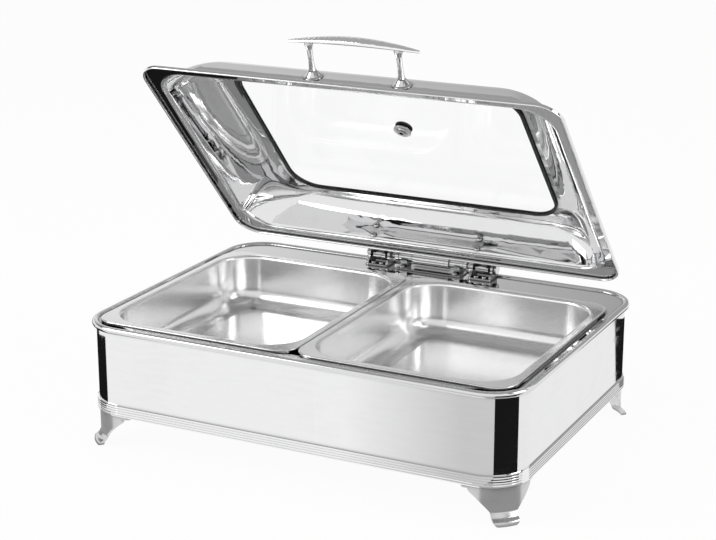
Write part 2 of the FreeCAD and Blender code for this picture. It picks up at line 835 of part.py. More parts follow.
def thermostat_knob():
    """Turned knob with a finger bar, on the thermostat's shaft."""
    y0 = BACK_OUT + 0.6
    h = KNOB_H
    points = [
        (3.0 + SHAFT_FIT, 0),
        (KNOB_R, 0, 1.0),
        (KNOB_R, 3.5, 1.0),
        (KNOB_R - 3.5, 5.0, 1.5),
        (KNOB_R - 3.5, 9.0, 1.0),
        (3.0 + SHAFT_FIT, 9.0),
    ]
    skirt = lathe(points)
    bar = slab(-4, 4, -KNOB_R + 4.5, KNOB_R - 4.5, 3.0, 8.5, h)
    knob = join([skirt, bar])
    knob = knob.cut(rod(0, 0, -1, BACK_OUT + h - 0.7 - y0, 3.0 + SHAFT_FIT))
    mark = box(-0.5, 0.5, 6, KNOB_R - 5, h - 0.6, h + 1)
    knob = knob.cut(mark)
    return placed(knob, KNOB_X, y0, CONTROL_Z, vec(1, 0, 0), -90)


def indicator_lamp():
    points = [
        (0, -18),
        (LAMP_R, -18),
        (LAMP_R, 0),
        (LAMP_R + 2, 0, 0.4),
        (LAMP_R + 2, 1.4, 0.6),
        (LAMP_R, 1.6, 0.3),
        (LAMP_R - 0.8, 4.2, 1.5),
        (0, 4.6),
    ]
    lamp = lathe(points)
    return placed(lamp, LAMP_X, BACK_OUT, CONTROL_Z, vec(1, 0, 0), -90)


def power_inlet():
    """Appliance inlet: flange outside, moulded body inside, open socket."""
    w = INLET_W / 2
    t = INLET_TALL / 2
    body = box(INLET_X - w, INLET_X + w, BACK_IN - 24, BACK_OUT + 1, CONTROL_Z - t, CONTROL_Z + t)
    flange = box(INLET_X - w - 10, INLET_X + w + 10, BACK_OUT, BACK_OUT + 3, CONTROL_Z - t - 2, CONTROL_Z + t + 2)
    flange = flange.makeFillet(4, [e for e in flange.Edges if abs(e.Vertexes[0].Y - e.Vertexes[1].Y) > 1])
    whole = join([body, flange])
    socket = [
        (INLET_X - w + 3, CONTROL_Z - t + 3, 1.5),
        (INLET_X + w - 3, CONTROL_Z - t + 3, 1.5),
        (INLET_X + w - 3, CONTROL_Z + 2, 1.5),
        (INLET_X + w - 8, CONTROL_Z + t - 3, 1.5),
        (INLET_X - w + 8, CONTROL_Z + t - 3, 1.5),
        (INLET_X - w + 3, CONTROL_Z + 2, 1.5),
    ]
    face = Part.Face(outline(socket, lambda a, b: vec(a, BACK_OUT - 14, b)))
    cuts = [face.extrude(vec(0, 30, 0))]
    for side in (-1, 1):
        cuts.append(bar_y(INLET_X + side * (w + 5), BACK_OUT - 1, BACK_OUT + 5, CONTROL_Z, 1.5 + FIT))
    for x, z in pin_spots():
        cuts.append(box(x - 1, x + 1, BACK_OUT - 30, BACK_OUT - 10, z - 2, z + 2))
    return whole.cut(cuts)


def pin_spots():
    return [(INLET_X - 7, CONTROL_Z - 2), (INLET_X + 7, CONTROL_Z - 2), (INLET_X, CONTROL_Z + 3)]


def inlet_pins():
    out = []
    for x, z in pin_spots():
        out.append(box(x - 1, x + 1, BACK_OUT - 32, BACK_OUT - 2, z - 2, z + 2))
    return group(out)


def inlet_screws():
    out = []
    for side in (-1, 1):
        x = INLET_X + side * (INLET_W / 2 + 5)
        out.append(placed(screw(8, 1.5, 2.8, 1.8), x, BACK_OUT + 3, CONTROL_Z, vec(1, 0, 0), -90))
    return group(out)


LEAD_R = 1.4
LEAD_BEND = 3.0
BLOCK_X = 60.0
BLOCK_Y = BACK_OUT - 41.0
Z_BLOCK = Z_BAND + SHEET + PLATE_T


def terminal_block():
    block = box(BLOCK_X - 24, BLOCK_X + 24, BLOCK_Y - 9, BLOCK_Y + 9, Z_BLOCK, Z_BLOCK + 15)
    cuts = []
    for i in range(4):
        x = BLOCK_X - 18 + 12 * i
        cuts.append(rod(x, BLOCK_Y, Z_BLOCK + 9, Z_BLOCK + 16, 2.5))
        cuts.append(bar_y(x, BLOCK_Y - 10, BLOCK_Y + 10, Z_BLOCK + 6, 2.0))
    return block.cut(cuts)


def wiring():
    """Leads of the circuit: inlet, thermostat, cut-out, element and back to the inlet."""
    way = [BLOCK_X - 18 + 12 * i for i in range(4)]
    z = Z_BLOCK + 6
    front = BLOCK_Y - 9
    back = BLOCK_Y + 9
    leads = []
    pin_y = PAN_Y + LEG_END + 10
    for x, end_x, y in ((way[0], -LEG_X, front - 14), (way[1], LEG_X, front - 23)):
        leads.append([
            (x, front, z),
            (x, y, z),
            (x, y, Z_ELEMENT),
            (end_x, y, Z_ELEMENT),
            (end_x, pin_y, Z_ELEMENT),
        ])
    tag_y = BODY_BACK - THERMOSTAT_DEEP - 8
    for x, end_x, y in ((way[2], KNOB_X - 9, front - 6), (way[3], KNOB_X + 9, front - 11)):
        leads.append([
            (x, front, z),
            (x, y, z),
            (x, y, CONTROL_Z),
            (end_x, y, CONTROL_Z),
            (end_x, tag_y, CONTROL_Z),
        ])
    tag_z = Z_SPREADER - CUTOUT_TAG
    for x, end_x, y in ((way[0], 4.0, back + 11), (way[2], -4.0, back + 18)):
        leads.append([
            (end_x, CUTOUT_Y + 16, tag_z),
            (end_x, front - 42, tag_z),
            (end_x, front - 42, z),
            (end_x, y, z),
            (x, y, z),
            (x, back, z),
        ])
    pins = pin_spots()
    stop = BACK_OUT - 32
    leads.append([
        (way[3], back, z),
        (way[3], back + 7, z),
        (pins[0][0], back + 7, z),
        (pins[0][0], stop - 12, z),
        (pins[0][0], stop - 12, pins[0][1]),
        (pins[0][0], stop, pins[0][1]),
    ])
    leads.append([
        (way[1], back, z),
        (way[1], back + 9, z),
        (way[1], back + 9, z + 9),
        (pins[1][0], back + 9, z + 9),
        (pins[1][0], stop - 17, z + 9),
        (pins[1][0], stop - 17, pins[1][1]),
        (pins[1][0], stop, pins[1][1]),
    ])
    return group([tube(points, LEAD_BEND, LEAD_R) for points in leads])


# Hinge, fixed half

Z_DECK = Z_LEDGE
DECK_FRONT = LID_BACK + 3.0
DECK_BACK = BACK_OUT + RIM_OUT - 2 * BEAD_R - 1.5
SADDLE_L = 92.0
SADDLE_BLOCK_X = 37.0
SADDLE_BLOCK_L = 8.0
SADDLE_T = 2.0


def deck_screw_spots():
    out = []
    y = DECK_FRONT + SCREW_HEAD_R + 1.2
    for side in (-1, 1):
        for dx in (-5.5, 5.5):
            out.append((HINGE_X + side * BRACKET_X + dx, y))
    for dx in (-0.4 * SADDLE_L, 0.4 * SADDLE_L):
        out.append((HINGE_X + dx, y))
    return out


def hinge_bracket(side):
    """Folded bracket: a foot on the deck and two ears that carry the shaft."""
    x = HINGE_X + side * BRACKET_X
    x0, x1 = x - BRACKET_W / 2, x + BRACKET_W / 2
    foot_plate = slab(x0, x1, DECK_FRONT, DECK_BACK, 3, Z_DECK, Z_DECK + BRACKET_T)
    parts = [foot_plate]
    ear = [
        (DECK_FRONT + 2, Z_DECK),
        (DECK_BACK, Z_DECK),
        (DECK_BACK, Z_DECK + 4, 1.5),
        (HINGE_Y + EAR_R, HINGE_Z - 2, 4),
        (HINGE_Y + EAR_R, HINGE_Z + EAR_R, EAR_R - 0.1),
        (HINGE_Y - EAR_R, HINGE_Z + EAR_R, EAR_R - 0.1),
        (HINGE_Y - EAR_R, HINGE_Z - 2, 4),
        (DECK_FRONT + 2, Z_DECK + 4, 1.5),
    ]
    for e0, e1 in ((x0, x0 + BRACKET_T), (x1 - BRACKET_T, x1)):
        parts.append(side_plate(ear, e0, e1))
    whole = join(parts)
    cuts = [bar_x(x0 - 1, x1 + 1, HINGE_Y, HINGE_Z, SHAFT_R + SHAFT_FIT)]
    for sx, sy in deck_screw_spots():
        if abs(sx - x) < BRACKET_W / 2:
            cuts.append(rod(sx, sy, Z_DECK - 1, Z_DECK + 5, SCREW_R + FIT))
    return whole.cut(cuts)


def damper_saddle():
    """Thin plate on the deck with a block under each end of the barrel."""
    x0, x1 = HINGE_X - SADDLE_L / 2, HINGE_X + SADDLE_L / 2
    parts = [slab(x0, x1, DECK_FRONT, DECK_BACK, 3, Z_DECK, Z_DECK + SADDLE_T)]
    for side in (-1, 1):
        a = HINGE_X + side * SADDLE_BLOCK_X - SADDLE_BLOCK_L / 2
        parts.append(box(a, a + SADDLE_BLOCK_L, HINGE_Y - 7, DECK_BACK, Z_DECK + 1, HINGE_Z - 1))
    cuts = [bar_x(x0 - 1, x1 + 1, HINGE_Y, HINGE_Z, BARREL_END_R)]
    for sx, sy in deck_screw_spots():
        if x0 < sx < x1:
            cuts.append(rod(sx, sy, Z_DECK - 1, Z_DECK + 5, SCREW_R + FIT))
    return join(parts).cut(cuts)


def damper_barrel():
    """Damper housing: thick middle that holds the rotor, slim ends with a collar each."""
    half = BARREL_L / 2
    middle = BARREL_MIDDLE / 2
    parts = [
        bar_x(HINGE_X - half, HINGE_X + half, HINGE_Y, HINGE_Z, BARREL_END_R),
        bar_x(HINGE_X - middle, HINGE_X + middle, HINGE_Y, HINGE_Z, BARREL_R),
    ]
    for side in (-1, 1):
        a, b = sorted((HINGE_X + side * (half - 4), HINGE_X + side * half))
        parts.append(bar_x(a, b, HINGE_Y, HINGE_Z, BARREL_END_R + 1))
    room = BARREL_CAVITY_L / 2
    cuts = [
        bar_x(HINGE_X - half - 1, HINGE_X + half + 1, HINGE_Y, HINGE_Z, SHAFT_R + SHAFT_FIT),
        bar_x(HINGE_X - room, HINGE_X + room, HINGE_Y, HINGE_Z, BARREL_CAVITY_R),
    ]
    return join(parts).cut(cuts)


def deck_screws():
    out = []
    length = BRACKET_T + SHEET + 3
    for x, y in deck_screw_spots():
        z = Z_DECK + (SADDLE_T if abs(x - HINGE_X) < SADDLE_L / 2 else BRACKET_T)
        out.append(placed(screw(length), x, y, z))
    return group(out)


# Hinge, moving half (drawn shut)

ARM_LOW = 5.0
ARM_LEN = 34.0
LID_SCREW_UP = (6.0, 19.5)


def dome_inset(side):
    """Distance from the lid's edge to the flat land round the window."""
    if side == "front":
        return WINDOW_CY - WINDOW_Y / 2 - LID_FRONT - WINDOW_LAND
    if side == "back":
        return LID_BACK - WINDOW_CY - WINDOW_Y / 2 - WINDOW_LAND
    return LID_X / 2 - WINDOW_X / 2 - WINDOW_LAND


def dome_table(side, depth):
    """Side profile of the dome, depth inside its outer face, as rising (height, inset) pairs.

    A concave foot of radius FOOT_R leaves the flange, turns into the wall and
    runs tangent into a curve that ends level at the window's land.
    """
    lean = math.radians(WALL_BACK if side == "back" else WALL_FRONT)
    inset = dome_inset(side)
    out = []
    for i in range(25):
        a = lean * i / 24
        r = FOOT_R + depth
        out.append((FOOT_R - r * math.cos(a), LID_FLANGE + r * math.sin(a)))
    x0 = LID_FLANGE + FOOT_R * math.sin(lean)
    h0 = FOOT_R - FOOT_R * math.cos(lean)
    xc = x0 + (DOME_H - h0) / math.tan(lean)
    for i in range(1, 61):
        t = i / 60
        a = x0 * (1 - t) ** 2 + 2 * t * (1 - t) * xc + t * t * inset
        h = h0 * (1 - t) ** 2 + 2 * t * (1 - t) * DOME_H + t * t * DOME_H
        da = 2 * (1 - t) * (xc - x0) + 2 * t * (inset - xc)
        dh = 2 * (1 - t) * (DOME_H - h0)
        length = math.hypot(da, dh)
        out.append((h - depth * da / length, a + depth * dh / length))
    return out


def read_table(table, h):
    if h <= table[0][0]:
        return table[0][1]
    for (h0, a0), (h1, a1) in zip(table, table[1:]):
        if h <= h1:
            return a0 + (a1 - a0) * (h - h0) / (h1 - h0)
    return table[-1][1]


FOOT_LEVELS = (0.0, 0.04, 0.16, 0.38, 0.7)
WALL_LEVELS = (0.09, 0.18, 0.3, 0.44, 0.58, 0.72, 0.84, 0.93, 0.985, 1.0)


def dome_solid(depth):
    """Lofts of rounded rectangles through the dome's side profiles, closed below the flange."""
    tables = [dome_table(side, depth) for side in ("front", "back", "side")]
    low = tables[0][0][0]
    top = DOME_H - depth
    foot = [low + FOOT_R * k for k in FOOT_LEVELS]
    wall = [foot[-1]] + [low + (top - low) * k for k in WALL_LEVELS if low + (top - low) * k > foot[-1] + 1]
    half = LID_X / 2

    def section(h, z):
        f, b, s = [read_table(t, h) for t in tables]
        k = max(0.0, h / DOME_H)
        r = DOME_R + (WINDOW_R + WINDOW_LAND - DOME_R) * k - depth
        r += max(0.0, LID_FLANGE + FOOT_R - f)
        return rect_wire(s - half, half - s, LID_FRONT + f, LID_BACK - b, r, Z_LID_FLANGE + z)

    base = Part.makeLoft([section(low, low - 3), section(low, low)], True, True)
    lower = Part.makeLoft([section(h, h) for h in foot], True, False)
    upper = Part.makeLoft([section(h, h) for h in wall], True, False)
    return base.fuse([lower, upper])


def lid_outer():
    whole = dome_solid(0.0)
    return whole.cut(box(-LID_X, LID_X, 2 * LID_FRONT, 2 * LID_BACK, 0, Z_LID_FLANGE - SHEET))


def lid_shell():
    """Pressed dome with a flat flange and a hemmed edge, sheet thick everywhere."""
    turn = LID_HEM / 2
    hem = strip(
        [
            (-LID_HEM, Z_LID_FLANGE - 1.7 * SHEET),
            (-LID_HEM, Z_LID_RIM, turn),
            (0, Z_LID_RIM, turn),
            (0, Z_LID_FLANGE, 1.5),
            (-LID_HEM - 2, Z_LID_FLANGE),
        ],
        SHEET,
    )
    edge = ring(hem, *lid_rect())
    flange = slab(*lid_rect(-LID_HEM), Z_LID_FLANGE - SHEET, Z_LID_FLANGE)
    shell = edge.fuse([flange, lid_outer()]).cut(dome_solid(SHEET))
    gap = SEAL_W / 2 - SEAL_LIP
    cuts = [slab(*window_rect(gap), Z_LID_TOP - 5, Z_LID_TOP + 5)]
    for x, y, z, angle in lid_screw_spots():
        cuts.append(wall_rod(x, y, z, angle, -8, 8, SCREW_R + FIT))
    y, z, slope = handle_seat()
    for x in post_spots():
        cuts.append(placed(rod(0, 0, -8, 8, SCREW_R + FIT), x, y, z, vec(1, 0, 0), slope))
    return shell.cut(cuts)


def wall_rod(x, y, z, angle, a, b, r):
    """Round bar along the outward normal of the back wall, from a to b off its face."""
    return placed(rod(0, 0, a, b, r), x, y, z, vec(1, 0, 0), -angle)


def back_wall_spot(h):
    """Point on the outer face of the dome's back wall and the tilt of its normal."""
    table = dome_table("back", 0.0)
    a = read_table(table, h)
    a1 = read_table(table, h + 0.5)
    a0 = read_table(table, h - 0.5)
    slope = math.degrees(math.atan2(1.0, a1 - a0))
    return LID_BACK - a, Z_LID_FLANGE + h, slope


def arm_frame():
    """The arm's leaf lies on the line through both screw points: point, angle."""
    ya, za, _ = back_wall_spot(LID_SCREW_UP[0])
    yb, zb, _ = back_wall_spot(LID_SCREW_UP[1])
    return ya, za, yb, zb, math.degrees(math.atan2(zb - za, ya - yb))


def lid_screw_spots():
    ya, za, yb, zb, angle = arm_frame()
    out = []
    for side in (-1, 1):
        x = HINGE_X + side * BRACKET_X
        out.append((x, ya, za, angle))
        out.append((x, yb, zb, angle))
    return out


def hinge_arm(side):
    """Strap that wraps the shaft, passes over the rim and lies on the back wall."""
    x = HINGE_X + side * BRACKET_X
    ya, za, yb, zb, angle = arm_frame()
    rad = math.radians(angle)
    up = (-math.cos(rad), math.sin(rad))
    out = (math.sin(rad), math.cos(rad))
    gap = 0.9

    def leaf(s, o):
        return (ya + up[0] * s + out[0] * (gap + o), za + up[1] * s + out[1] * (gap + o))

    low = leaf(-ARM_LOW, 0)
    tip = leaf(ARM_LEN - ARM_LOW - 8, 0)
    tip_out = leaf(ARM_LEN - ARM_LOW - 8, ARM_T)
    knee_out = leaf(-ARM_LOW + 1.0, ARM_T)
    points = [
        (HINGE_Y, HINGE_Z - 4.5),
        (HINGE_Y, HINGE_Z + 4.5),
        (knee_out[0] + 4, knee_out[1] + 2.0, 3),
        (tip_out[0], tip_out[1], 1.5),
        (tip[0], tip[1], 1.5),
        (low[0], low[1], 2),
    ]
    strap = side_plate(points, x - ARM_W / 2, x + ARM_W / 2)
    hub = bar_x(x - ARM_W / 2, x + ARM_W / 2, HINGE_Y, HINGE_Z, HUB_R)
    channel = [leaf(-20, ARM_T), leaf(60, ARM_T), leaf(60, 60), leaf(-20, 60)]
    half = ARM_W / 2 - ARM_CHEEK
    strap = strap.cut(side_plate(channel, x - half, x + half))
    whole = join([strap, hub])
    cuts = [bar_x(x - ARM_W, x + ARM_W, HINGE_Y, HINGE_Z, SHAFT_R)]
    cuts.append(lid_outer())
    cuts.append(slab(*lid_rect(HOLE_GAP), Z_LID_RIM - 1, Z_LID_FLANGE + HOLE_GAP))
    for sx, sy, sz, sa in lid_screw_spots():
        cuts.append(wall_rod(sx, sy, sz, sa, -3, 12, SCREW_R + FIT))
    return whole.cut(cuts)


def hinge_shaft():
    half = BRACKET_X + BRACKET_W / 2 + 2
    shaft = bar_x(HINGE_X - half, HINGE_X + half, HINGE_Y, HINGE_Z, SHAFT_R)
    heads = []
    for side in (-1, 1):
        a, b = sorted((HINGE_X + side * (half - 1.5), HINGE_X + side * (half + 1.5)))
        heads.append(bar_x(a, b, HINGE_Y, HINGE_Z, 6.5))
    return join([shaft] + heads)


def damper_rotor():
    """Vaned rotor keyed to the shaft inside the barrel."""
    half = BARREL_CAVITY_L / 2 - 1.5
    x0, x1 = HINGE_X - half, HINGE_X + half
    hub = bar_x(x0, x1, HINGE_Y, HINGE_Z, 5.0)
    vane = box(x0, x1, HINGE_Y - 5.6, HINGE_Y + 5.6, HINGE_Z - 1.0, HINGE_Z + 1.0)
    return join([hub, vane]).cut(bar_x(x0 - 1, x1 + 1, HINGE_Y, HINGE_Z, SHAFT_R))


def lid_screws():
    """Round heads inside the lid, shanks out through the arm."""
    out = []
    for x, y, z, angle in lid_screw_spots():
        bolt = placed(screw(12), 0, 0, -SHEET - 0.6, vec(1, 0, 0), 180)
        out.append(placed(bolt, x, y, z, vec(1, 0, 0), -angle))
    return group(out)


def lid_nuts():
    out = []
    for x, y, z, angle in lid_screw_spots():
        nut = hexagon(3.5, 3.0).cut(rod(0, 0, -1, 4, SCREW_R))
        nut.translate(vec(0, 0, 0.9 + ARM_T))
        out.append(placed(nut, x, y, z, vec(1, 0, 0), -angle))
    return group(out)


def hexagon(flat, h):
    r = flat / math.cos(math.pi / 6)
    points = []
    for i in range(6):
        a = math.radians(60 * i + 30)
        points.append(vec(r * math.cos(a), r * math.sin(a), 0))
    points.append(points[0])
    return Part.Face(Part.makePolygon(points)).extrude(vec(0, 0, h))


# Window, seal and vent

Z_GLASS = Z_LID_TOP - SHEET / 2


def lid_glass():
    pane = slab(*window_rect(-SEAL_W / 2 + SEAL_LIP), Z_GLASS - GLASS_T / 2, Z_GLASS + GLASS_T / 2)
    hole = rod(VENT_X, VENT_Y, Z_GLASS - 5, Z_GLASS + 5, VENT_HOLE / 2)
    return pane.cut(hole)


def window_gasket():
    """H-section seal: grips the sheet outside and the pane inside."""
    w = SEAL_W / 2
    h = SEAL_H / 2
    g = GLASS_T / 2
    s = SHEET / 2
    z = Z_GLASS
    points = [
        (-w, z - h),
        (w, z - h),
        (w, z - s),
        (w - SEAL_LIP, z - s),
        (w - SEAL_LIP, z + s),
        (w, z + s),
        (w, z + h),
        (-w, z + h),
        (-w, z + g),
        (-w + SEAL_LIP, z + g),
        (-w + SEAL_LIP, z - g),
        (-w, z - g),
    ]
    return ring(points, *window_rect())


def vent_seal():
    """Silicone sleeve between the vent and the glass."""
    low = Z_GLASS - GLASS_T / 2 - 1.0
    high = Z_GLASS + GLASS_T / 2 + 1.0
    r = VENT_D / 2 - 1.5
    bore = VENT_HOLE / 2 - 1.5
    points = [
        (bore, low),
        (r, low),
        (r, low + 1.0),
        (VENT_HOLE / 2, low + 1.0),
        (VENT_HOLE / 2, high - 1.0),
        (r, high - 1.0),
        (r, high),
        (bore, high),
    ]
    return lathe(points, VENT_X, VENT_Y)


def vent_body():
    """Flanged sleeve from above, with the steam hole."""
    low = Z_GLASS - GLASS_T / 2 - 6.0
    high = Z_GLASS + GLASS_T / 2 + 1.0
    neck = VENT_HOLE / 2 - 1.5
    points = [
        (VENT_BORE / 2, low),
        (neck, low, 0.5),
        (neck, high),
        (VENT_D / 2, high, 0.6),
        (VENT_D / 2, high + 1.5, 1.2),
        (VENT_BORE / 2 + 1, high + 3.0, 1.0),
        (VENT_BORE / 2, high + 3.0),
    ]
    return lathe(points, VENT_X, VENT_Y)


def vent_nut():
    high = Z_GLASS - GLASS_T / 2 - 1.0
    neck = VENT_HOLE / 2 - 1.5
    points = [
        (neck, high - 3.6),
        (VENT_D / 2 - 5, high - 3.6, 0.5),
        (VENT_D / 2 - 4, high - 2.0, 0.5),
        (VENT_D / 2, high - 2.0, 0.8),
        (VENT_D / 2, high, 0.4),
        (neck, high),
    ]
    return lathe(points, VENT_X, VENT_Y)


# Handle: drawn standing on a flat, then laid on the front wall


def handle_seat():
    """Point on the outer face of the front wall and the tilt that stands a post on it."""
    table = dome_table("front", 0.0)
    a = read_table(table, HANDLE_UP)
    a1 = read_table(table, HANDLE_UP + 0.5)
    a0 = read_table(table, HANDLE_UP - 0.5)
    slope = math.degrees(math.atan2(1.0, a1 - a0))
    return LID_FRONT + a, Z_LID_FLANGE + HANDLE_UP, slope


def post_spots():
    return [HANDLE_X - POST_SPACING / 2, HANDLE_X + POST_SPACING / 2]


def on_front(shape):
    y, z, slope = handle_seat()
    return placed(shape, 0, y, z, vec(1, 0, 0), slope)


def off_front(shape):
    y, z, slope = handle_seat()
    piece = shape.copy()
    piece.translate(vec(0, -y, -z))
    piece.rotate(vec(0, 0, 0), vec(1, 0, 0), -slope)
    return piece


def grip_half(s):
    """Half width and half thickness of the grip at s along it, and its centre height."""
    u = min(1.0, abs(s) / (GRIP_LEN / 2))
    tip = 0.55 * GRIP_TIP
    w = tip + (GRIP_W / 2 - tip) * max(0.0, 1 - u ** 1.8) ** 0.8
    t = GRIP_TIP / 2 + (GRIP_T - GRIP_TIP) / 2 * (1 - u ** 1.6)
    low = POST_LEN + GRIP_RISE * ((POST_SPACING / GRIP_LEN) ** 2 - u * u)
    return w, t, low + t


def handle_grip():
    """Arched bar, widest in the middle and drawn out to points."""
    half = GRIP_LEN / 2
    wires = []
    for k in (-1.0, -0.93, -0.78, -0.5, -0.2, 0.2, 0.5, 0.78, 0.93, 1.0):
        s = half * k
        w, t, c = grip_half(s)
        centre = vec(HANDLE_X + s, 0, c)
        curve = Part.Ellipse(centre + vec(0, w, 0), centre + vec(0, 0, t), centre)
        wires.append(Part.Wire(curve.toShape()))
    return Part.makeLoft(wires, True, False)


def handle_posts():
    grip = handle_grip()
    out = []
    for x in post_spots():
        top = POST_LEN + 2.0
        points = [
            (0, 0.4),
            (3.0, 0.4),
            (3.0, ROSETTE_H + FIT),
            (4.4, ROSETTE_H + FIT, 0.4),
            (POST_R + 0.5, ROSETTE_H + 4.5, 3),
            (POST_R, ROSETTE_H + 12, 30),
            (POST_R + 0.3, POST_LEN - 8, 10),
            (POST_TOP_R, POST_LEN - 1.5, 2),
            (POST_TOP_R - 0.4, top),
            (0, top),
        ]
        post = lathe(points, x, 0).cut(grip)
        post = max(post.Solids, key=lambda s: s.Volume)
        out.append(post.cut(rod(x, 0, -1, 16, SCREW_R)))
    return out


def handle_rosettes():
    wall = off_front(lid_outer())
    out = []
    for x in post_spots():
        points = [
            (3.0 + FIT, -3.0),
            (ROSETTE_R, -3.0),
            (ROSETTE_R, 1.2, 0.8),
            (ROSETTE_R - 2.2, 2.2, 1.0),
            (7.5, 4.6, 6),
            (4.8, ROSETTE_H, 1),
            (3.0 + FIT, ROSETTE_H),
        ]
        piece = lathe(points, x, 0).cut(wall)
        out.append(max(piece.Solids, key=lambda s: s.Volume))
    return out


def handle_screws():
    """Screw and washer inside the lid, one below each post."""
    out = []
    for x in post_spots():
        bolt = screw(15, SCREW_R, 4.0, 2.4)
        out.append(placed(bolt, x, 0, -SHEET - WASHER_SEAT - WASHER_T, vec(1, 0, 0), 180))
    return out


def handle_washers():
    out = []
    for x in post_spots():
        top = -SHEET - WASHER_SEAT
        ringed = rod(x, 0, top - WASHER_T, top, 5.5)
        out.append(ringed.cut(rod(x, 0, -5, 5, SCREW_R + FIT)))
    return out


def build():
    os.makedirs("parts", exist_ok=True)
    save("base_shell", base_shell())
    save("bottom_plate", bottom_plate())
    save("lower_band", lower_band())
    save("top_frame", top_frame())
    save("foot_front_left", foot(-1, -1))
    save("foot_front_right", foot(1, -1))
    save("foot_rear_left", foot(-1, 1))
    save("foot_rear_right", foot(1, 1))
    save("base_screws", base_screws())
    save("water_pan", water_pan())
    save("food_pan_left", food_pan(-1))
    save("food_pan_right", food_pan(1))
    save("heat_spreader", heat_spreader())
    save("heating_element", heating_element())
    save("element_clamps", element_clamps())
    save("heat_shield", heat_shield())
    save("shield_spacers", shield_spacers())
    save("shield_screws", shield_screws())
    save("thermal_cutout", thermal_cutout())
    save("thermostat_body", thermostat_body())
    save("thermostat_knob", thermostat_knob())
    save("indicator_lamp", indicator_lamp())
    save("power_inlet", power_inlet())
    save("inlet_pins", inlet_pins())
    save("inlet_screws", inlet_screws())
    save("terminal_block", terminal_block())
    save("wiring", wiring())
    save("hinge_bracket_left", hinge_bracket(-1))
    save("hinge_bracket_right", hinge_bracket(1))
    save("damper_saddle", damper_saddle())
    save("damper_barrel", damper_barrel())
    save("deck_screws", deck_screws())
    save("hinge_arm_left", lid_up(hinge_arm(-1)))
    save("hinge_arm_right", lid_up(hinge_arm(1)))
    save("hinge_shaft", lid_up(hinge_shaft()))
    save("damper_rotor", lid_up(damper_rotor()))
    save("lid_screws", lid_up(lid_screws()))
    save("lid_nuts", lid_up(lid_nuts()))
    save("lid_shell", lid_up(lid_shell()))
    save("lid_glass", lid_up(lid_glass()))
    save("window_gasket", lid_up(window_gasket()))
    save("vent_seal", lid_up(vent_seal()))
    save("vent_body", lid_up(vent_body()))
    save("vent_nut", lid_up(vent_nut()))
    posts = handle_posts()
    rosettes = handle_rosettes()
    save("handle_grip", lid_up(on_front(handle_grip())))
    save("handle_post_left", lid_up(on_front(posts[0])))
    save("handle_post_right", lid_up(on_front(posts[1])))
    save("handle_rosette_left", lid_up(on_front(rosettes[0])))
    save("handle_rosette_right", lid_up(on_front(rosettes[1])))
    save("handle_screws", lid_up(on_front(group(handle_screws()))))
    save("handle_washers", lid_up(on_front(group(handle_washers()))))


build()
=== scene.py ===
import math

import bpy
from bpy.props import FloatProperty, FloatVectorProperty, PointerProperty
from mathutils import Matrix, Vector

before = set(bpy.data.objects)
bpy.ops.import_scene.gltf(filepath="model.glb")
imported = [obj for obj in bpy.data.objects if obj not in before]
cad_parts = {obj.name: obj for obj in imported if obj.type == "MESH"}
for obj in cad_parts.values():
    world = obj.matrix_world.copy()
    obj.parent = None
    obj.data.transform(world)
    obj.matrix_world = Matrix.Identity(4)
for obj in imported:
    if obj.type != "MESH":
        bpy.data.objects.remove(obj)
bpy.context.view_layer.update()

bl_info = {
    "name": "Chafing Dish Finish",
    "version": (1, 0, 0),
    "blender": (4, 5, 0),
    "location": "View3D > Sidebar > Chafing Dish",
    "description": "Gives the pieces of an electric chafing dish their metals, glass, "
    "rubber and plastics, and sets up a small studio",
    "category": "Material",
}


# Sizes and colours that a user would change


class DishFinish(bpy.types.PropertyGroup):
    """Colours and surface detail of the dish."""

    steel_colour: FloatVectorProperty(
        name="Polished steel",
        description="Reflected colour of the mirror-polished stainless steel",
        subtype="COLOR",
        min=0.0,
        max=1.0,
        default=(0.86, 0.86, 0.865),
    )
    steel_roughness: FloatProperty(
        name="Polish",
        description="Roughness of the mirror polish where it is clean",
        subtype="FACTOR",
        min=0.0,
        max=1.0,
        default=0.02,
    )
    ripple: FloatProperty(
        name="Sheet ripple",
        description="Depth of the slow waves that pressing leaves in polished sheet",
        unit="LENGTH",
        min=0.0,
        max=0.002,
        default=0.00006,
    )
    satin_colour: FloatVectorProperty(
        name="Satin steel",
        description="Reflected colour of the satin steel of the pans",
        subtype="COLOR",
        min=0.0,
        max=1.0,
        default=(0.9, 0.9, 0.9),
    )
    satin_roughness: FloatProperty(
        name="Satin",
        description="Roughness of the satin steel of the food pans",
        subtype="FACTOR",
        min=0.0,
        max=1.0,
        default=0.2,
    )
    hammer_size: FloatProperty(
        name="Hammer marks",
        description="Width of one hammer mark on top of the grip",
        unit="LENGTH",
        min=0.001,
        max=0.02,
        default=0.0045,
    )
    glass_tint: FloatVectorProperty(
        name="Glass",
        description="Tint of the window glass",
        subtype="COLOR",
        min=0.0,
        max=1.0,
        default=(0.997, 1.0, 0.999),
    )
    rubber_colour: FloatVectorProperty(
        name="Rubber",
        description="Colour of the window seal and the vent sleeve",
        subtype="COLOR",
        min=0.0,
        max=1.0,
        default=(0.012, 0.012, 0.013),
    )
    plastic_colour: FloatVectorProperty(
        name="Plastic",
        description="Colour of the moulded control parts",
        subtype="COLOR",
        min=0.0,
        max=1.0,
        default=(0.018, 0.018, 0.019),
    )
    lamp_colour: FloatVectorProperty(
        name="Lamp lens",
        description="Colour of the indicator lamp's lens",
        subtype="COLOR",
        min=0.0,
        max=1.0,
        default=(0.55, 0.02, 0.01),
    )


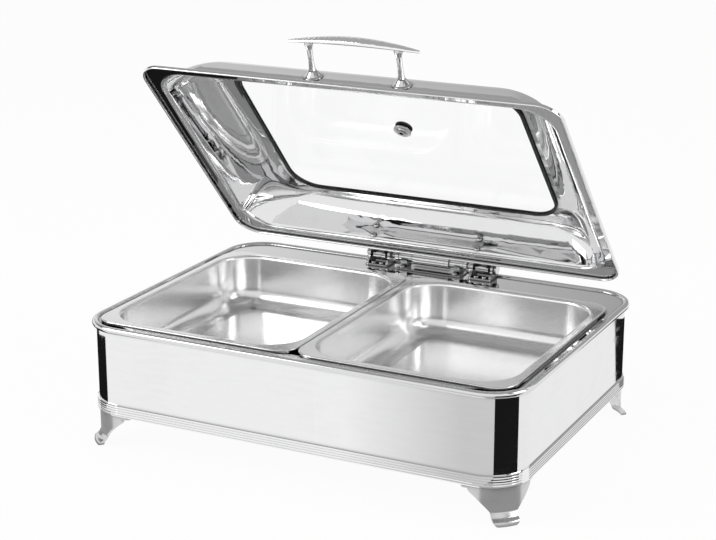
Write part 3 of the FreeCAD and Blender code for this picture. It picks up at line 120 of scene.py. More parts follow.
class DishStudio(bpy.types.PropertyGroup):
    """Camera and floor of the studio."""

    camera_place: FloatVectorProperty(
        name="Camera place",
        description="Where the camera stands",
        subtype="TRANSLATION",
        unit="LENGTH",
        default=(0.9323, -1.8738, 0.8418),
    )
    camera_turn: FloatProperty(
        name="Camera turn",
        description="Angle of the camera round the dish, from straight in front",
        subtype="ANGLE",
        default=math.radians(26.635),
    )
    camera_drop: FloatProperty(
        name="Camera drop",
        description="Angle that the camera looks down by",
        subtype="ANGLE",
        default=math.radians(17.025),
    )
    camera_roll: FloatProperty(
        name="Camera roll",
        description="Tilt of the camera about its own line of sight",
        subtype="ANGLE",
        default=math.radians(-0.03),
    )
    lens: FloatProperty(
        name="Lens",
        description="Focal length on a sensor 36 mm wide",
        unit="CAMERA",
        default=92.23,
    )
    floor_size: FloatProperty(
        name="Floor",
        description="Width of the floor",
        unit="LENGTH",
        default=30.0,
    )
    floor_colour: FloatVectorProperty(
        name="Floor colour",
        description="Colour of the floor in the light of the lamps",
        subtype="COLOR",
        min=0.0,
        max=1.0,
        default=(0.92, 0.92, 0.92),
    )


# Node helpers


def add(tree, kind, inputs=None, **options):
    """Add one node, set its options, and link or set its sockets."""
    made = tree.nodes.new(kind)
    for name, value in options.items():
        setattr(made, name, value)
    for name, value in (inputs or {}).items():
        if isinstance(value, bpy.types.NodeSocket):
            tree.links.new(value, made.inputs[name])
        else:
            made.inputs[name].default_value = value
    return made


def maths(tree, operation, a, b=0.0):
    return add(tree, "ShaderNodeMath", {0: a, 1: b}, operation=operation).outputs[0]


def spread(tree, value, low, high, to_low=0.0, to_high=1.0):
    """Map one range to another, held at its ends."""
    ends = {"From Min": low, "From Max": high, "To Min": to_low, "To Max": to_high}
    return add(tree, "ShaderNodeMapRange", {"Value": value, **ends}).outputs["Result"]


def mix_colours(tree, share, first, second):
    inputs = {0: share, 6: first, 7: second}
    return add(tree, "ShaderNodeMix", inputs, data_type="RGBA").outputs[2]


def noise(tree, spot, scale, detail, **others):
    inputs = {"Vector": spot, "Scale": scale, "Detail": detail, **others}
    return add(tree, "ShaderNodeTexNoise", inputs).outputs


def place(tree):
    """Place on the piece, in metres."""
    return tree.nodes.new("ShaderNodeTexCoord").outputs["Object"]


def stretched(tree, spot, scale):
    inputs = {0: spot, 1: scale}
    return add(tree, "ShaderNodeVectorMath", inputs, operation="MULTIPLY").outputs[0]


def new_group(name, inputs, outputs):
    """Start a shader group. An input without a default is a vector, and all else are floats."""
    tree = bpy.data.node_groups.new(name, "ShaderNodeTree")
    for label, default in inputs:
        kind = "NodeSocketVector" if default is None else "NodeSocketFloat"
        socket = tree.interface.new_socket(label, in_out="INPUT", socket_type=kind)
        if default is not None:
            socket.default_value = default
    for label in outputs:
        tree.interface.new_socket(label, in_out="OUTPUT", socket_type="NodeSocketFloat")
    source = tree.nodes.new("NodeGroupInput")
    sink = tree.nodes.new("NodeGroupOutput")
    return tree, source.outputs, sink.inputs


def use_group(tree, build, **inputs):
    """Place the group that build makes. The first use makes it, under the name of build."""
    group = bpy.data.node_groups.get(build.__name__) or build()
    values = {label.replace("_", " "): value for label, value in inputs.items()}
    return add(tree, "ShaderNodeGroup", values, node_tree=group).outputs


def rgba(colour):
    return (*colour, 1.0)


def toned(colour, tone):
    return tuple(part * tone for part in colour)


# Effects shared by several materials


def polish_haze():
    """Cloudy wipe marks and fingerprints of roughness on polished metal."""
    tree, given, out = new_group(
        "polish_haze",
        [("Place", None), ("Cloud Scale", 9.0), ("Clean", 0.02), ("Hazy", 0.06)],
        ["Roughness", "Mask"],
    )
    strokes = (30.0, 30.0, 160.0)
    cloud = noise(
        tree, given["Place"], given["Cloud Scale"], detail=5.0, Roughness=0.6, Distortion=0.6
    )
    wipe = noise(tree, stretched(tree, given["Place"], strokes), scale=1.0, detail=3.0)
    both = maths(tree, "MULTIPLY", cloud["Fac"], wipe["Fac"])
    mask = spread(tree, both, 0.2, 0.42)
    tree.links.new(mask, out["Mask"])
    span = maths(tree, "SUBTRACT", given["Hazy"], given["Clean"])
    rough = maths(tree, "ADD", maths(tree, "MULTIPLY", mask, span), given["Clean"])
    tree.links.new(rough, out["Roughness"])
    return tree


def sheet_ripple():
    """Slow waves, as a height from 0 to Depth in units of RIPPLE_UNIT."""
    tree, given, out = new_group(
        "sheet_ripple",
        [("Place", None), ("Scale", 7.0), ("Depth", 0.1)],
        ["Height"],
    )
    wave = noise(tree, given["Place"], given["Scale"], detail=1.5, Roughness=0.35)
    tree.links.new(maths(tree, "MULTIPLY", wave["Fac"], given["Depth"]), out["Height"])
    return tree


def brush_lines():
    """Fine lines left by a belt or a polishing wheel, on a place that is already stretched."""
    tree, given, out = new_group("brush_lines", [("Place", None)], ["Height", "Mask"])
    fine = noise(tree, given["Place"], scale=1.0, detail=4.0, Roughness=0.7)
    tree.links.new(fine["Fac"], out["Height"])
    tree.links.new(spread(tree, fine["Fac"], 0.35, 0.65), out["Mask"])
    return tree


def hairlines():
    """Sparse hairline scratches from wiping and from spoons, in two directions."""
    tree, given, out = new_group(
        "hairlines",
        [("Place", None), ("Density", 40.0), ("Width", 0.012)],
        ["Mask"],
    )
    turns = (0.35, -0.9)
    sway = (0.05, 0.05, 0.05)
    drawn_out = (1.0, 0.06, 1.0)
    warp = noise(tree, given["Place"], scale=14.0, detail=2.0)
    masks = []
    for turn in turns:
        spun = add(
            tree,
            "ShaderNodeVectorRotate",
            {"Vector": given["Place"], "Angle": turn},
            rotation_type="Z_AXIS",
        )
        bent = add(
            tree,
            "ShaderNodeVectorMath",
            {0: warp["Color"], 1: sway, 2: spun.outputs[0]},
            operation="MULTIPLY_ADD",
        )
        cell = add(
            tree,
            "ShaderNodeTexVoronoi",
            {"Vector": stretched(tree, bent.outputs[0], drawn_out), "Scale": given["Density"]},
            feature="DISTANCE_TO_EDGE",
        )
        masks.append(maths(tree, "LESS_THAN", cell.outputs["Distance"], given["Width"]))
    patches = noise(tree, given["Place"], scale=55.0, detail=2.0)
    scratched = spread(tree, patches["Fac"], 0.5, 0.62)
    lines = maths(tree, "MAXIMUM", *masks)
    tree.links.new(maths(tree, "MULTIPLY", lines, scratched), out["Mask"])
    return tree


def moulded_grain():
    """Fine grain of a moulded surface, and a mask of broad clouds."""
    tree, given, out = new_group(
        "moulded_grain",
        [("Place", None), ("Scale", 1800.0)],
        ["Height", "Mask"],
    )
    grain = noise(tree, given["Place"], given["Scale"], detail=2.0)
    cloud = noise(tree, given["Place"], scale=60.0, detail=3.0)
    tree.links.new(grain["Fac"], out["Height"])
    tree.links.new(cloud["Fac"], out["Mask"])
    return tree


def seam_shade():
    """Painted shade in grooves, bends and corners and along each seam: a mask that rises where
    ambient occlusion within Reach finds the surface hemmed in.
    """
    tree, given, out = new_group("seam_shade", [("Reach", 0.004)], ["Mask"])
    hidden = add(tree, "ShaderNodeAmbientOcclusion", {"Distance": given["Reach"]}, samples=6)
    tree.links.new(spread(tree, hidden.outputs["AO"], 0.95, 0.5), out["Mask"])
    return tree


# Materials. Grey levels and colours are linear, and depths, widths and reaches are in metres

# Colour of the painted shade that seam_shade lays in grooves, bends and corners
SEAM_SHADE_COLOUR = (0.015, 0.015, 0.016)
SHEET_COLOUR = (0.62, 0.62, 0.62)
SHIELD_COLOUR = (0.6, 0.6, 0.59)
ALUMINIUM_COLOUR = (0.72, 0.73, 0.74)
BRASS_COLOUR = (0.78, 0.57, 0.26)
FIBRE_COLOUR = (0.62, 0.58, 0.48)
# Oxide on the element's sheath: where in the noise it stands, and its colour
OXIDES = (
    (0.3, (0.06, 0.055, 0.07)),
    (0.5, (0.16, 0.13, 0.12)),
    (0.72, (0.30, 0.24, 0.17)),
)
# Side of the grip that has hammer marks, at the pose of the frame
GRIP_TOP = (0.0, 0.0, 1.0)
# Length that the heights and depths of sheet_ripple are counted in
RIPPLE_UNIT = 0.001


def start_material(name, **sockets):
    material = bpy.data.materials.new(name)
    material.use_nodes = True
    tree = material.node_tree
    shader = tree.nodes["Principled BSDF"]
    for label, value in sockets.items():
        shader.inputs[label.replace("_", " ")].default_value = value
    return material, tree, shader


def bump(tree, shader, height, distance):
    inputs = {"Height": height, "Distance": distance, "Strength": 1.0}
    made = add(tree, "ShaderNodeBump", inputs)
    tree.links.new(made.outputs["Normal"], shader.inputs["Normal"])


def dim(tree, shader, colour, mask, share, seam_shading=0.0, reach=0.004):
    """Darken the base colour by a share where the mask is 1, and further with painted shade along
    each seam and in corners.
    """
    result = mix_colours(tree, mask, rgba(colour), rgba(toned(colour, 1.0 - share)))
    if seam_shading > 0.0:
        shade = use_group(tree, seam_shade, Reach=reach)
        along = maths(tree, "MULTIPLY", shade["Mask"], seam_shading)
        result = mix_colours(tree, along, result, rgba(SEAM_SHADE_COLOUR))
    tree.links.new(result, shader.inputs["Base Color"])


def polish(tree, shader, spot, cloud, clean, hazy, scratches=None):
    """Clouded roughness with scratches on it, of which the cloud's mask is returned."""
    made = use_group(tree, polish_haze, Place=spot, Cloud_Scale=cloud, Clean=clean, Hazy=hazy)
    rough = made["Roughness"]
    if scratches is not None:
        rough = maths(tree, "ADD", rough, scratches)
    tree.links.new(rough, shader.inputs["Roughness"])
    return made["Mask"]


def mirror_steel(name, ripple_scale, ripple_share, haze, tone, seam_shading, reach=0.004):
    """Mirror-polished stainless sheet: slow ripple, wipe haze and a few hairlines."""
    look = bpy.context.scene.dish_finish
    material, tree, shader = start_material(name, Metallic=1.0)
    spot = place(tree)
    lines = use_group(tree, hairlines, Place=spot)
    scratches = maths(tree, "MULTIPLY", lines["Mask"], 0.03)
    clean = look.steel_roughness
    mask = polish(tree, shader, spot, 9.0, clean, clean + haze, scratches)
    dim(tree, shader, toned(look.steel_colour, tone), mask, 0.03, seam_shading, reach)
    depth = look.ripple * ripple_share / RIPPLE_UNIT
    wave = use_group(tree, sheet_ripple, Place=spot, Scale=ripple_scale, Depth=depth)
    bump(tree, shader, wave["Height"], RIPPLE_UNIT)
    return material


def cast_chrome(name, tone):
    """Polished casting: soft dimples under the plating and a little haze."""
    look = bpy.context.scene.dish_finish
    material, tree, shader = start_material(name, Metallic=1.0)
    spot = place(tree)
    mask = polish(tree, shader, spot, cloud=40.0, clean=0.2, hazy=0.27)
    dim(tree, shader, toned(look.steel_colour, tone), mask, 0.06, seam_shading=0.8, reach=0.006)
    wave = use_group(tree, sheet_ripple, Place=spot, Scale=60.0, Depth=0.1)
    bump(tree, shader, wave["Height"], RIPPLE_UNIT)
    return material


def satin_steel(name, stretch, rough, colour, haze=0.08, seam_shading=0.6, reach=0.004):
    """Satin steel with fine polishing lines along the axis that is stretched least."""
    material, tree, shader = start_material(name, Metallic=1.0)
    spot = place(tree)
    fine = use_group(tree, brush_lines, Place=stretched(tree, spot, stretch))
    lines = use_group(tree, hairlines, Place=spot, Density=60.0)
    brushed = maths(tree, "MULTIPLY", maths(tree, "SUBTRACT", fine["Mask"], 0.5), haze / 2)
    scratched = maths(tree, "MULTIPLY", lines["Mask"], 0.05)
    scratches = maths(tree, "ADD", brushed, scratched)
    mask = polish(tree, shader, spot, 14.0, rough, rough + haze, scratches)
    dim(tree, shader, colour, mask, haze / 2, seam_shading, reach)
    bump(tree, shader, fine["Height"], haze * 0.0001)
    return material


def hammered_steel(name, tone, mark_depth):
    """Polished grip with shallow overlapping hammer marks on its upper side."""
    look = bpy.context.scene.dish_finish
    material, tree, shader = start_material(name, Metallic=1.0)
    spot = place(tree)
    mask = polish(tree, shader, spot, cloud=40.0, clean=0.03, hazy=0.08)
    dim(tree, shader, toned(look.steel_colour, tone), mask, 0.05, seam_shading=0.8)
    marks = add(
        tree,
        "ShaderNodeTexVoronoi",
        {"Vector": spot, "Scale": 1.0 / look.hammer_size, "Smoothness": 0.25},
        feature="SMOOTH_F1",
    )
    facing = add(
        tree,
        "ShaderNodeVectorMath",
        {0: tree.nodes.new("ShaderNodeNewGeometry").outputs["True Normal"], 1: GRIP_TOP},
        operation="DOT_PRODUCT",
    )
    upper = spread(tree, facing.outputs["Value"], 0.25, 0.6)
    height = maths(tree, "MULTIPLY", marks.outputs["Distance"], upper)
    bump(tree, shader, height, mark_depth)
    return material


def grained_metal(name, rough, grain, depth):
    """Metal with a fine grain and clouded roughness, still without its colour."""
    material, tree, shader = start_material(name, Metallic=1.0)
    spot = place(tree)
    mask = polish(tree, shader, spot, 70.0, rough, rough + 0.12)
    bump(tree, shader, noise(tree, spot, grain, detail=2.0)["Fac"], depth)
    return material, tree, shader, mask


def plain_steel(name, level, rough, grain=900.0, depth=0.00002):
    """Bright turned or stamped steel for screws, posts and hinge parts."""
    material, tree, shader, mask = grained_metal(name, rough, grain, depth)
    dim(tree, shader, (level, level, level * 1.005), mask, 0.12, seam_shading=0.9, reach=0.005)
    return material


def bare_brass(name):
    """Brass of the contacts, one even colour."""
    material, _, shader, _ = grained_metal(name, rough=0.2, grain=900.0, depth=0.00002)
    shader.inputs["Base Color"].default_value = rgba(BRASS_COLOUR)
    return material


def window_glass(name):
    """Clear tempered glass, a trace of green, with faint smears."""
    look = bpy.context.scene.dish_finish
    material, tree, shader = start_material(
        name,
        Metallic=0.0,
        IOR=1.2,
        Specular_IOR_Level=0.1,
        Transmission_Weight=1.0,
        Base_Color=rgba(look.glass_tint),
    )
    polish(tree, shader, place(tree), cloud=6.0, clean=0.0, hazy=0.012)
    return material


def moulded(made, colour, share, grain, rough, depth=0.0):
    """Finish a started material with clouded colour and roughness, and a grain if it is deep."""
    material, tree, shader = made
    effect = use_group(tree, moulded_grain, Place=place(tree), Scale=grain)
    tree.links.new(spread(tree, effect["Mask"], 0.3, 0.7, *rough), shader.inputs["Roughness"])
    dim(tree, shader, colour, effect["Mask"], share)
    if depth > 0.0:
        bump(tree, shader, effect["Height"], depth)
    return material


def rubber(name):
    colour = toned(bpy.context.scene.dish_finish.rubber_colour, 1.6)
    made = start_material(name, Metallic=0.0)
    return moulded(made, colour, 0.6, grain=1400.0, rough=(0.42, 0.6), depth=0.00004)


def moulded_plastic(name, rough, grain, depth, coat=0.0):
    colour = toned(bpy.context.scene.dish_finish.plastic_colour, 1.3)
    made = start_material(name, Metallic=0.0, Coat_Weight=coat, Coat_Roughness=0.05)
    return moulded(made, colour, 0.4, grain, (rough, rough + 0.1), depth)


def lamp_lens(name):
    """Translucent lens with a clear skin."""
    colour = bpy.context.scene.dish_finish.lamp_colour
    made = start_material(
        name,
        Metallic=0.0,
        Subsurface_Weight=0.4,
        Subsurface_Scale=0.003,
        Subsurface_Radius=(1.0, 0.3, 0.2),
        Coat_Weight=1.0,
        Coat_Roughness=0.03,
    )
    return moulded(made, colour, 0.3, grain=700.0, rough=(0.12, 0.2))


def heated_steel(name):
    """Element sheath: dark oxide with straw and blue patches."""
    material, tree, shader = start_material(name, Metallic=1.0)
    cloud = noise(tree, place(tree), scale=24.0, detail=6.0, Roughness=0.65)["Fac"]
    ramp = add(tree, "ShaderNodeValToRGB", {"Fac": cloud})
    stops = ramp.color_ramp.elements
    stops.new(0.5)
    for stop, (position, colour) in zip(stops, OXIDES):
        stop.position = position
        stop.color = rgba(colour)
    tree.links.new(ramp.outputs["Color"], shader.inputs["Base Color"])
    tree.links.new(spread(tree, cloud, 0.3, 0.7, 0.5, 0.3), shader.inputs["Roughness"])
    bump(tree, shader, cloud, 0.0001)
    return material


def fibre_sleeve(name):
    """Braided cover of the heat-proof leads."""
    material, tree, shader = start_material(name, Metallic=0.0, Roughness=0.85)
    braid = add(
        tree,
        "ShaderNodeTexWave",
        {"Vector": place(tree), "Scale": 260.0, "Distortion": 1.5, "Detail": 1.0},
        bands_direction="DIAGONAL",
    ).outputs["Fac"]
    dim(tree, shader, FIBRE_COLOUR, braid, 0.45)
    bump(tree, shader, braid, 0.0002)
    return material


# One operator for each group of pieces


def cover(material, *nodes):
    """Give CAD pieces their material."""
    for node in nodes:
        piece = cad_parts.get(node)
        if piece is None:
            raise RuntimeError(f"there is no piece called {node}")
        for slot in piece.material_slots:
            slot.material = material
        for face in piece.data.polygons:
            face.use_smooth = True


class DishOperator:
    bl_options = {"REGISTER", "UNDO"}


class DISH_OT_base(DishOperator, bpy.types.Operator):
    """Finish the wall, the ribbed band, the rolled rim and the underside"""

    bl_idname = "dish.base"
    bl_label = "Base"

    def execute(self, context):
        # One steel in lighter and darker copies: the tones 1.05 of the band and 0.86 of the rim
        # are painted light and shade for how bright each part looks, and the seam shares paint
        # shade in grooves
        wall = mirror_steel(
            "wall_steel", ripple_scale=5.0, ripple_share=0.6, haze=0.05, tone=1.0, seam_shading=0.3
        )
        band = mirror_steel(
            "band_steel", ripple_scale=9.0, ripple_share=0.5, haze=0.04, tone=1.05, seam_shading=0.0
        )
        rim = mirror_steel(
            "rim_steel",
            ripple_scale=9.0,
            ripple_share=0.8,
            haze=0.05,
            tone=0.86,
            seam_shading=0.9,
            reach=0.005,
        )
        sheet = satin_steel(
            "underside_steel", stretch=(14.0, 900.0, 900.0), rough=0.28, colour=SHEET_COLOUR
        )
        cover(wall, "base_shell")
        cover(band, "lower_band")
        cover(rim, "top_frame")
        cover(sheet, "bottom_plate")
        return {"FINISHED"}


class DISH_OT_feet(DishOperator, bpy.types.Operator):
    """Finish the four cast feet"""

    bl_idname = "dish.feet"
    bl_label = "Feet"

    def execute(self, context):
        casting = cast_chrome("foot_casting", tone=0.74)
        cover(casting, "foot_front_left", "foot_front_right", "foot_rear_left", "foot_rear_right")
        return {"FINISHED"}


class DISH_OT_pans(DishOperator, bpy.types.Operator):
    """Finish the food pans and the water pan"""

    bl_idname = "dish.pans"
    bl_label = "Pans"

    def execute(self, context):
        look = context.scene.dish_finish
        # The food pans get painted shade in their bends and corners, reaching 3 cm from them
        food = satin_steel(
            "pan_steel",
            stretch=(20.0, 1200.0, 1200.0),
            rough=look.satin_roughness,
            colour=look.satin_colour,
            haze=0.03,
            seam_shading=0.75,
            reach=0.03,
        )
        water = satin_steel(
            "water_pan_steel",
            stretch=(1200.0, 20.0, 1200.0),
            rough=0.24,
            colour=look.satin_colour,
            seam_shading=0.0,
        )
        cover(food, "food_pan_left", "food_pan_right")
        cover(water, "water_pan")
        return {"FINISHED"}


class DISH_OT_lid(DishOperator, bpy.types.Operator):
    """Finish the pressed dome"""

    bl_idname = "dish.lid"
    bl_label = "Lid"

    def execute(self, context):
        # The dome's tone of 0.92 darkens the same steel as painted shade, and its seam share
        # paints shade in grooves and corners
        dome = mirror_steel(
            "dome_steel",
            ripple_scale=6.0,
            ripple_share=1.0,
            haze=0.04,
            tone=0.92,
            seam_shading=0.9,
            reach=0.006,
        )
        cover(dome, "lid_shell")
        return {"FINISHED"}


class DISH_OT_window(DishOperator, bpy.types.Operator):
    """Finish the glass, its seal and the steam vent"""

    bl_idname = "dish.window"
    bl_label = "Window"

    def execute(self, context):
        cover(window_glass("pane_glass"), "lid_glass")
        cover(rubber("seal_rubber"), "window_gasket", "vent_seal")
        cover(plain_steel("vent_steel", level=0.55, rough=0.08), "vent_body", "vent_nut")
        return {"FINISHED"}


class DISH_OT_handle(DishOperator, bpy.types.Operator):
    """Finish the grip, its posts and their rosettes"""

    bl_idname = "dish.handle"
    bl_label = "Handle"

    def execute(self, context):
        cover(hammered_steel("grip_steel", tone=1.08, mark_depth=0.0005), "handle_grip")
        bright = plain_steel("post_steel", level=0.68, rough=0.03, grain=300.0)
        cover(bright, "handle_post_left", "handle_post_right")
        cover(bright, "handle_rosette_left", "handle_rosette_right")
        return {"FINISHED"}


class DISH_OT_hinge(DishOperator, bpy.types.Operator):
    """Finish the brackets, the arms and the damper"""

    bl_idname = "dish.hinge"
    bl_label = "Hinge"

    def execute(self, context):
        stamped = plain_steel("stamped_steel", level=0.5, rough=0.1)
        turned = plain_steel("turned_steel", level=0.7, rough=0.07, grain=1500.0, depth=0.00001)
        cover(stamped, "hinge_bracket_left", "hinge_bracket_right")
        cover(stamped, "hinge_arm_left", "hinge_arm_right", "damper_saddle")
        cover(turned, "damper_barrel", "damper_rotor", "hinge_shaft")
        return {"FINISHED"}


class DISH_OT_screws(DishOperator, bpy.types.Operator):
    """Finish the screws, nuts and washers"""

    bl_idname = "dish.screws"
    bl_label = "Screws"

    def execute(self, context):
        bright = plain_steel("screw_steel", level=0.5, rough=0.12)
        cover(bright, "base_screws", "deck_screws", "shield_screws", "inlet_screws")
        cover(bright, "lid_screws", "lid_nuts", "handle_screws", "handle_washers")
        return {"FINISHED"}


class DISH_OT_heater(DishOperator, bpy.types.Operator):
    """Finish the element, the spreader and the shield inside the base"""

    bl_idname = "dish.heater"
    bl_label = "Heater"

    def execute(self, context):
        rolled = (900.0, 12.0, 900.0)
        spreader = satin_steel(
            "spreader_aluminium", stretch=rolled, rough=0.35, colour=ALUMINIUM_COLOUR
        )
        shield = satin_steel("shield_steel", stretch=rolled, rough=0.3, colour=SHIELD_COLOUR)
        cover(spreader, "heat_spreader")
        cover(heated_steel("sheath_steel"), "heating_element")
        cover(shield, "heat_shield", "shield_spacers")
        clip = plain_steel("clip_steel", level=0.55, rough=0.3)
        cover(clip, "element_clamps", "thermal_cutout")
        return {"FINISHED"}


class DISH_OT_controls(DishOperator, bpy.types.Operator):
    """Finish the knob, the lamp, the inlet and the leads"""

    bl_idname = "dish.controls"
    bl_label = "Controls"

    def execute(self, context):
        matt = moulded_plastic("matt_moulding", rough=0.45, grain=1500.0, depth=0.00006)
        gloss = moulded_plastic(
            "gloss_moulding", rough=0.22, grain=900.0, depth=0.00001, coat=0.6
        )
        cover(matt, "thermostat_body", "power_inlet", "terminal_block")
        cover(gloss, "thermostat_knob")
        cover(lamp_lens("lamp_lens"), "indicator_lamp")
        cover(bare_brass("contact_brass"), "inlet_pins")
        cover(fibre_sleeve("lead_sleeve"), "wiring")
        return {"FINISHED"}


# The studio, with lengths in metres

WHITE = (1.0, 1.0, 1.0, 1.0)
SENSOR_WIDTH = 36.0
# Sideways shift of the lens: one pixel of a picture 716 pixels wide
LENS_SHIFT = -1.0 / 716.0
# How much of the floor's look is plain white, and the rest is lit by the lamps
FLOOR_WHITE_SHARE = 0.94
# Light that the surroundings give to everything that isn't seen or mirrored
AMBIENT_COLOUR = (0.9, 0.9, 0.9, 1.0)
AMBIENT_STRENGTH = 0.6
# Name, place, point that it shines on, width, power in watts
LAMPS = (
    ("key_lamp", (-1.8, -1.4, 1.5), (0.0, 0.0, 0.1), 1.4, 26.0),
    ("fill_lamp", (2.2, 0.2, 1.3), (0.0, 0.0, 0.1), 1.2, 14.0),
    ("back_lamp", (-0.4, 1.3, 2.6), (0.0, 0.0, 0.0), 1.4, 5.0),
)
CORNER_RADIUS = 0.0465
PAPER_HEIGHT = 0.002
PAPER_STEPS = 32
# Dark paper on the floor that a corner of the wall mirrors to the camera: name, centre of the
# corner, first and last angle on the corner and the camera's angle from it in degrees,
# nearest and farthest distance from the wall, level of grey
CORNER_PAPERS = (
    ("front_right_paper", (0.2275, -0.1505), (-85.0, -27.0), -67.8, (0.106, 0.6), 0.01),
    ("front_left_paper", (-0.2275, -0.1505), (-146.0, -108.0), -56.1, (0.126, 0.402), 0.01),
    ("rear_right_paper", (0.2275, 0.142), (0.0, 27.0), -70.8, (0.13, 0.41), 0.01),
    ("front_foot_paper", (0.2275, -0.1505), (-80.0, -20.0), -67.8, (0.012, 0.105), 0.42),
    ("left_foot_paper", (-0.2275, -0.1505), (-146.0, -100.0), -56.1, (0.012, 0.125), 0.42),
)
# Upright cards: name, two ends, lowest and highest edge, levels of grey at two places along x
UPRIGHT_CARDS = (
    ("back_card", ((-3.0, 1.8), (1.2, 1.8)), (0.25, 1.0), ((-1.4, 0.9), (-0.2, 0.42))),
    ("high_back_card", ((-3.0, 1.8), (1.2, 1.8)), (1.0, 2.6), ((-1.4, 0.66), (-0.2, 0.45))),
    ("right_card", ((2.4, -1.0), (2.4, 1.4)), (1.0, 3.2), ((0.0, 0.25), (1.0, 0.25))),
    ("left_card", ((-2.4, 1.2), (-2.4, -1.6)), (1.0, 3.2), ((0.0, 0.25), (1.0, 0.25))),
    ("wall_card", ((-0.02, -0.30), (0.32, -0.30)), (0.0, 0.13), ((0.02, 1.0), (0.17, 0.66))),
)
FLOOR_CARD_HEIGHT = 0.0015
# Level cards: name, range in x, range in y, height, level of grey
LEVEL_CARDS = (
    ("ceiling_card", (-1.6, 1.6), (-1.5, 1.6), 2.0, 0.4),
    ("left_floor_card", (-1.2, -0.41), (-0.08, 0.9), FLOOR_CARD_HEIGHT, 0.06),
    ("left_foot_floor_card", (-0.41, -0.29), (-0.08, 0.9), FLOOR_CARD_HEIGHT, 0.25),
    ("right_floor_card", (0.285, 0.9), (-0.3, 1.0), FLOOR_CARD_HEIGHT, 0.93),
)
# Cards that begin above this height are also seen through the window
SEEN_THROUGH_HEIGHT = 0.2


class DISH_OT_studio(DishOperator, bpy.types.Operator):
    """Set up the camera, the floor, the lamps and the cards"""

    bl_idname = "dish.studio"
    bl_label = "Studio"

    def execute(self, context):
        place_camera(context)
        lay_floor(context)
        hang_lamps(context)
        stand_cards(context)
        paint_world(context)
        context.scene.view_settings.view_transform = "Standard"
        return {"FINISHED"}


def place_camera(context):
    studio = context.scene.dish_studio
    turn, drop, roll = studio.camera_turn, studio.camera_drop, studio.camera_roll
    flat = math.cos(drop)
    back = Vector((math.sin(turn) * flat, -math.cos(turn) * flat, math.sin(drop)))
    right = Vector((math.cos(turn), math.sin(turn), 0.0))
    up = back.cross(right)
    across = right * math.cos(roll) + up * math.sin(roll)
    over = up * math.cos(roll) - right * math.sin(roll)
    data = bpy.data.cameras.new("studio_camera")
    data.sensor_width = SENSOR_WIDTH
    data.lens = studio.lens
    data.shift_x = LENS_SHIFT
    camera = bpy.data.objects.new("studio_camera", data)
    axes = Matrix((across, over, back)).transposed().to_4x4()
    camera.matrix_world = Matrix.Translation(studio.camera_place) @ axes
    context.scene.collection.objects.link(camera)
    context.scene.camera = camera


def seen_directly(tree):
    """1 for camera, glossy and transmitted rays, and 0 for all others."""
    path = tree.nodes.new("ShaderNodeLightPath")
    seen = maths(tree, "MAXIMUM", path.outputs["Is Camera Ray"], path.outputs["Is Glossy Ray"])
    return maths(tree, "MAXIMUM", seen, path.outputs["Is Transmission Ray"])


def lay_floor(context):
    """White floor that shows a little of the lamps' light and of the shadows."""
    studio = context.scene.dish_studio
    material, tree, shader = start_material(
        "floor_paint",
        Base_Color=rgba(studio.floor_colour),
        Roughness=0.9,
        Specular_IOR_Level=0.0,
    )
    share = maths(tree, "MULTIPLY", seen_directly(tree), FLOOR_WHITE_SHARE)
    white = add(tree, "ShaderNodeEmission", {"Color": WHITE, "Strength": 1.0})
    both = {0: share, 1: shader.outputs[0], 2: white.outputs[0]}
    mixed = add(tree, "ShaderNodeMixShader", both)
    tree.links.new(mixed.outputs[0], tree.nodes["Material Output"].inputs["Surface"])
    half = studio.floor_size / 2
    corners = [(-half, -half, 0), (half, -half, 0), (half, half, 0), (-half, half, 0)]
    mesh = bpy.data.meshes.new("floor")
    mesh.from_pydata(corners, [], [(0, 1, 2, 3)])
    mesh.materials.append(material)
    floor = bpy.data.objects.new("floor", mesh)
    context.scene.collection.objects.link(floor)


def hang_lamps(context):
    for name, spot, aim, size, power in LAMPS:
        data = bpy.data.lights.new(name, "AREA")
        data.size = size
        data.energy = power
        lamp = bpy.data.objects.new(name, data)
        lamp.location = spot
        aimed = Vector(spot) - Vector(aim)
        lamp.rotation_euler = aimed.to_track_quat("Z", "Y").to_euler()
        context.scene.collection.objects.link(lamp)


def card_paint(name, first, last):
    """Grey that doesn't depend on the lamps, with its level given at two places along x."""
    material = bpy.data.materials.new(name)
    material.use_nodes = True
    tree = material.node_tree
    across = add(tree, "ShaderNodeSeparateXYZ", {"Vector": place(tree)}).outputs["X"]
    level = spread(tree, across, first[0], last[0], first[1], last[1])
    glow = add(tree, "ShaderNodeEmission", {"Color": level, "Strength": 1.0})
    tree.links.new(glow.outputs[0], tree.nodes["Material Output"].inputs["Surface"])
    return material


def stand_card(context, name, verts, faces, greys):
    mesh = bpy.data.meshes.new(name)
    mesh.from_pydata(verts, [], faces)
    mesh.materials.append(card_paint(name + "_paint", *greys))
    card = bpy.data.objects.new(name, mesh)
    card.visible_camera = False
    card.visible_diffuse = False
    card.visible_transmission = min(z for x, y, z in verts) > SEEN_THROUGH_HEIGHT
    card.visible_shadow = False
    context.scene.collection.objects.link(card)


def even(level):
    """One level of grey all over a card."""
    return (0.0, level), (1.0, level)


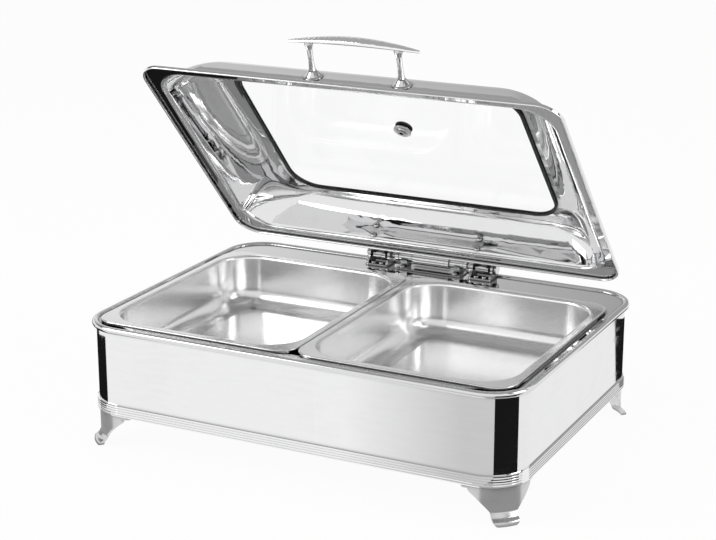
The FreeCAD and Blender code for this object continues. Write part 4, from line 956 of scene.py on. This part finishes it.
def stand_cards(context):
    """Cards that reflections see, and the high ones also the window."""
    for name, centre, (start, end), camera_side, distances, level in CORNER_PAPERS:
        verts = []
        for i in range(PAPER_STEPS + 1):
            turn = math.radians(start + (end - start) * i / PAPER_STEPS)
            out = 2.0 * turn - math.radians(camera_side)
            for distance in distances:
                x = centre[0] + CORNER_RADIUS * math.cos(turn) + distance * math.cos(out)
                y = centre[1] + CORNER_RADIUS * math.sin(turn) + distance * math.sin(out)
                verts.append((x, y, PAPER_HEIGHT))
        faces = [(i, i + 1, i + 3, i + 2) for i in range(0, 2 * PAPER_STEPS, 2)]
        stand_card(context, name, verts, faces, even(level))
    for name, ((x0, y0), (x1, y1)), (low, high), greys in UPRIGHT_CARDS:
        corners = [(x0, y0, low), (x1, y1, low), (x1, y1, high), (x0, y0, high)]
        stand_card(context, name, corners, [(0, 1, 2, 3)], greys)
    for name, (x0, x1), (y0, y1), z, level in LEVEL_CARDS:
        corners = [(x0, y0, z), (x1, y0, z), (x1, y1, z), (x0, y1, z)]
        stand_card(context, name, corners, [(0, 1, 2, 3)], even(level))


def paint_world(context):
    """White to the rays that are seen or mirrored, and a softer light to all others."""
    world = bpy.data.worlds.new("studio_world")
    world.use_nodes = True
    context.scene.world = world
    tree = world.node_tree
    soft = {"Color": AMBIENT_COLOUR, "Strength": AMBIENT_STRENGTH}
    white = {"Color": WHITE, "Strength": 1.0}
    lights = [add(tree, "ShaderNodeBackground", inputs).outputs[0] for inputs in (soft, white)]
    mixed = add(tree, "ShaderNodeMixShader", {0: seen_directly(tree), 1: lights[0], 2: lights[1]})
    tree.links.new(mixed.outputs[0], tree.nodes["World Output"].inputs["Surface"])


STEPS = (
    DISH_OT_studio,
    DISH_OT_base,
    DISH_OT_feet,
    DISH_OT_pans,
    DISH_OT_lid,
    DISH_OT_window,
    DISH_OT_handle,
    DISH_OT_hinge,
    DISH_OT_screws,
    DISH_OT_heater,
    DISH_OT_controls,
)


class DISH_PT_panel(bpy.types.Panel):
    """Lists the finishing steps and their settings"""

    bl_idname = "DISH_PT_panel"
    bl_label = "Chafing Dish"
    bl_space_type = "VIEW_3D"
    bl_region_type = "UI"
    bl_category = "Chafing Dish"

    def draw(self, context):
        layout = self.layout
        for step in STEPS:
            layout.operator(step.bl_idname)
        for group in (context.scene.dish_finish, context.scene.dish_studio):
            box = layout.box()
            for name in group.__annotations__:
                box.prop(group, name)


CLASSES = (DishFinish, DishStudio) + STEPS + (DISH_PT_panel,)


def register():
    for item in CLASSES:
        bpy.utils.register_class(item)
    bpy.types.Scene.dish_finish = PointerProperty(type=DishFinish)
    bpy.types.Scene.dish_studio = PointerProperty(type=DishStudio)


def unregister():
    del bpy.types.Scene.dish_studio
    del bpy.types.Scene.dish_finish
    for item in reversed(CLASSES):
        bpy.utils.unregister_class(item)


def main():
    register()
    for step in STEPS:
        family, name = step.bl_idname.split(".")
        getattr(getattr(bpy.ops, family), name)()


if __name__ == "__main__":
    main()
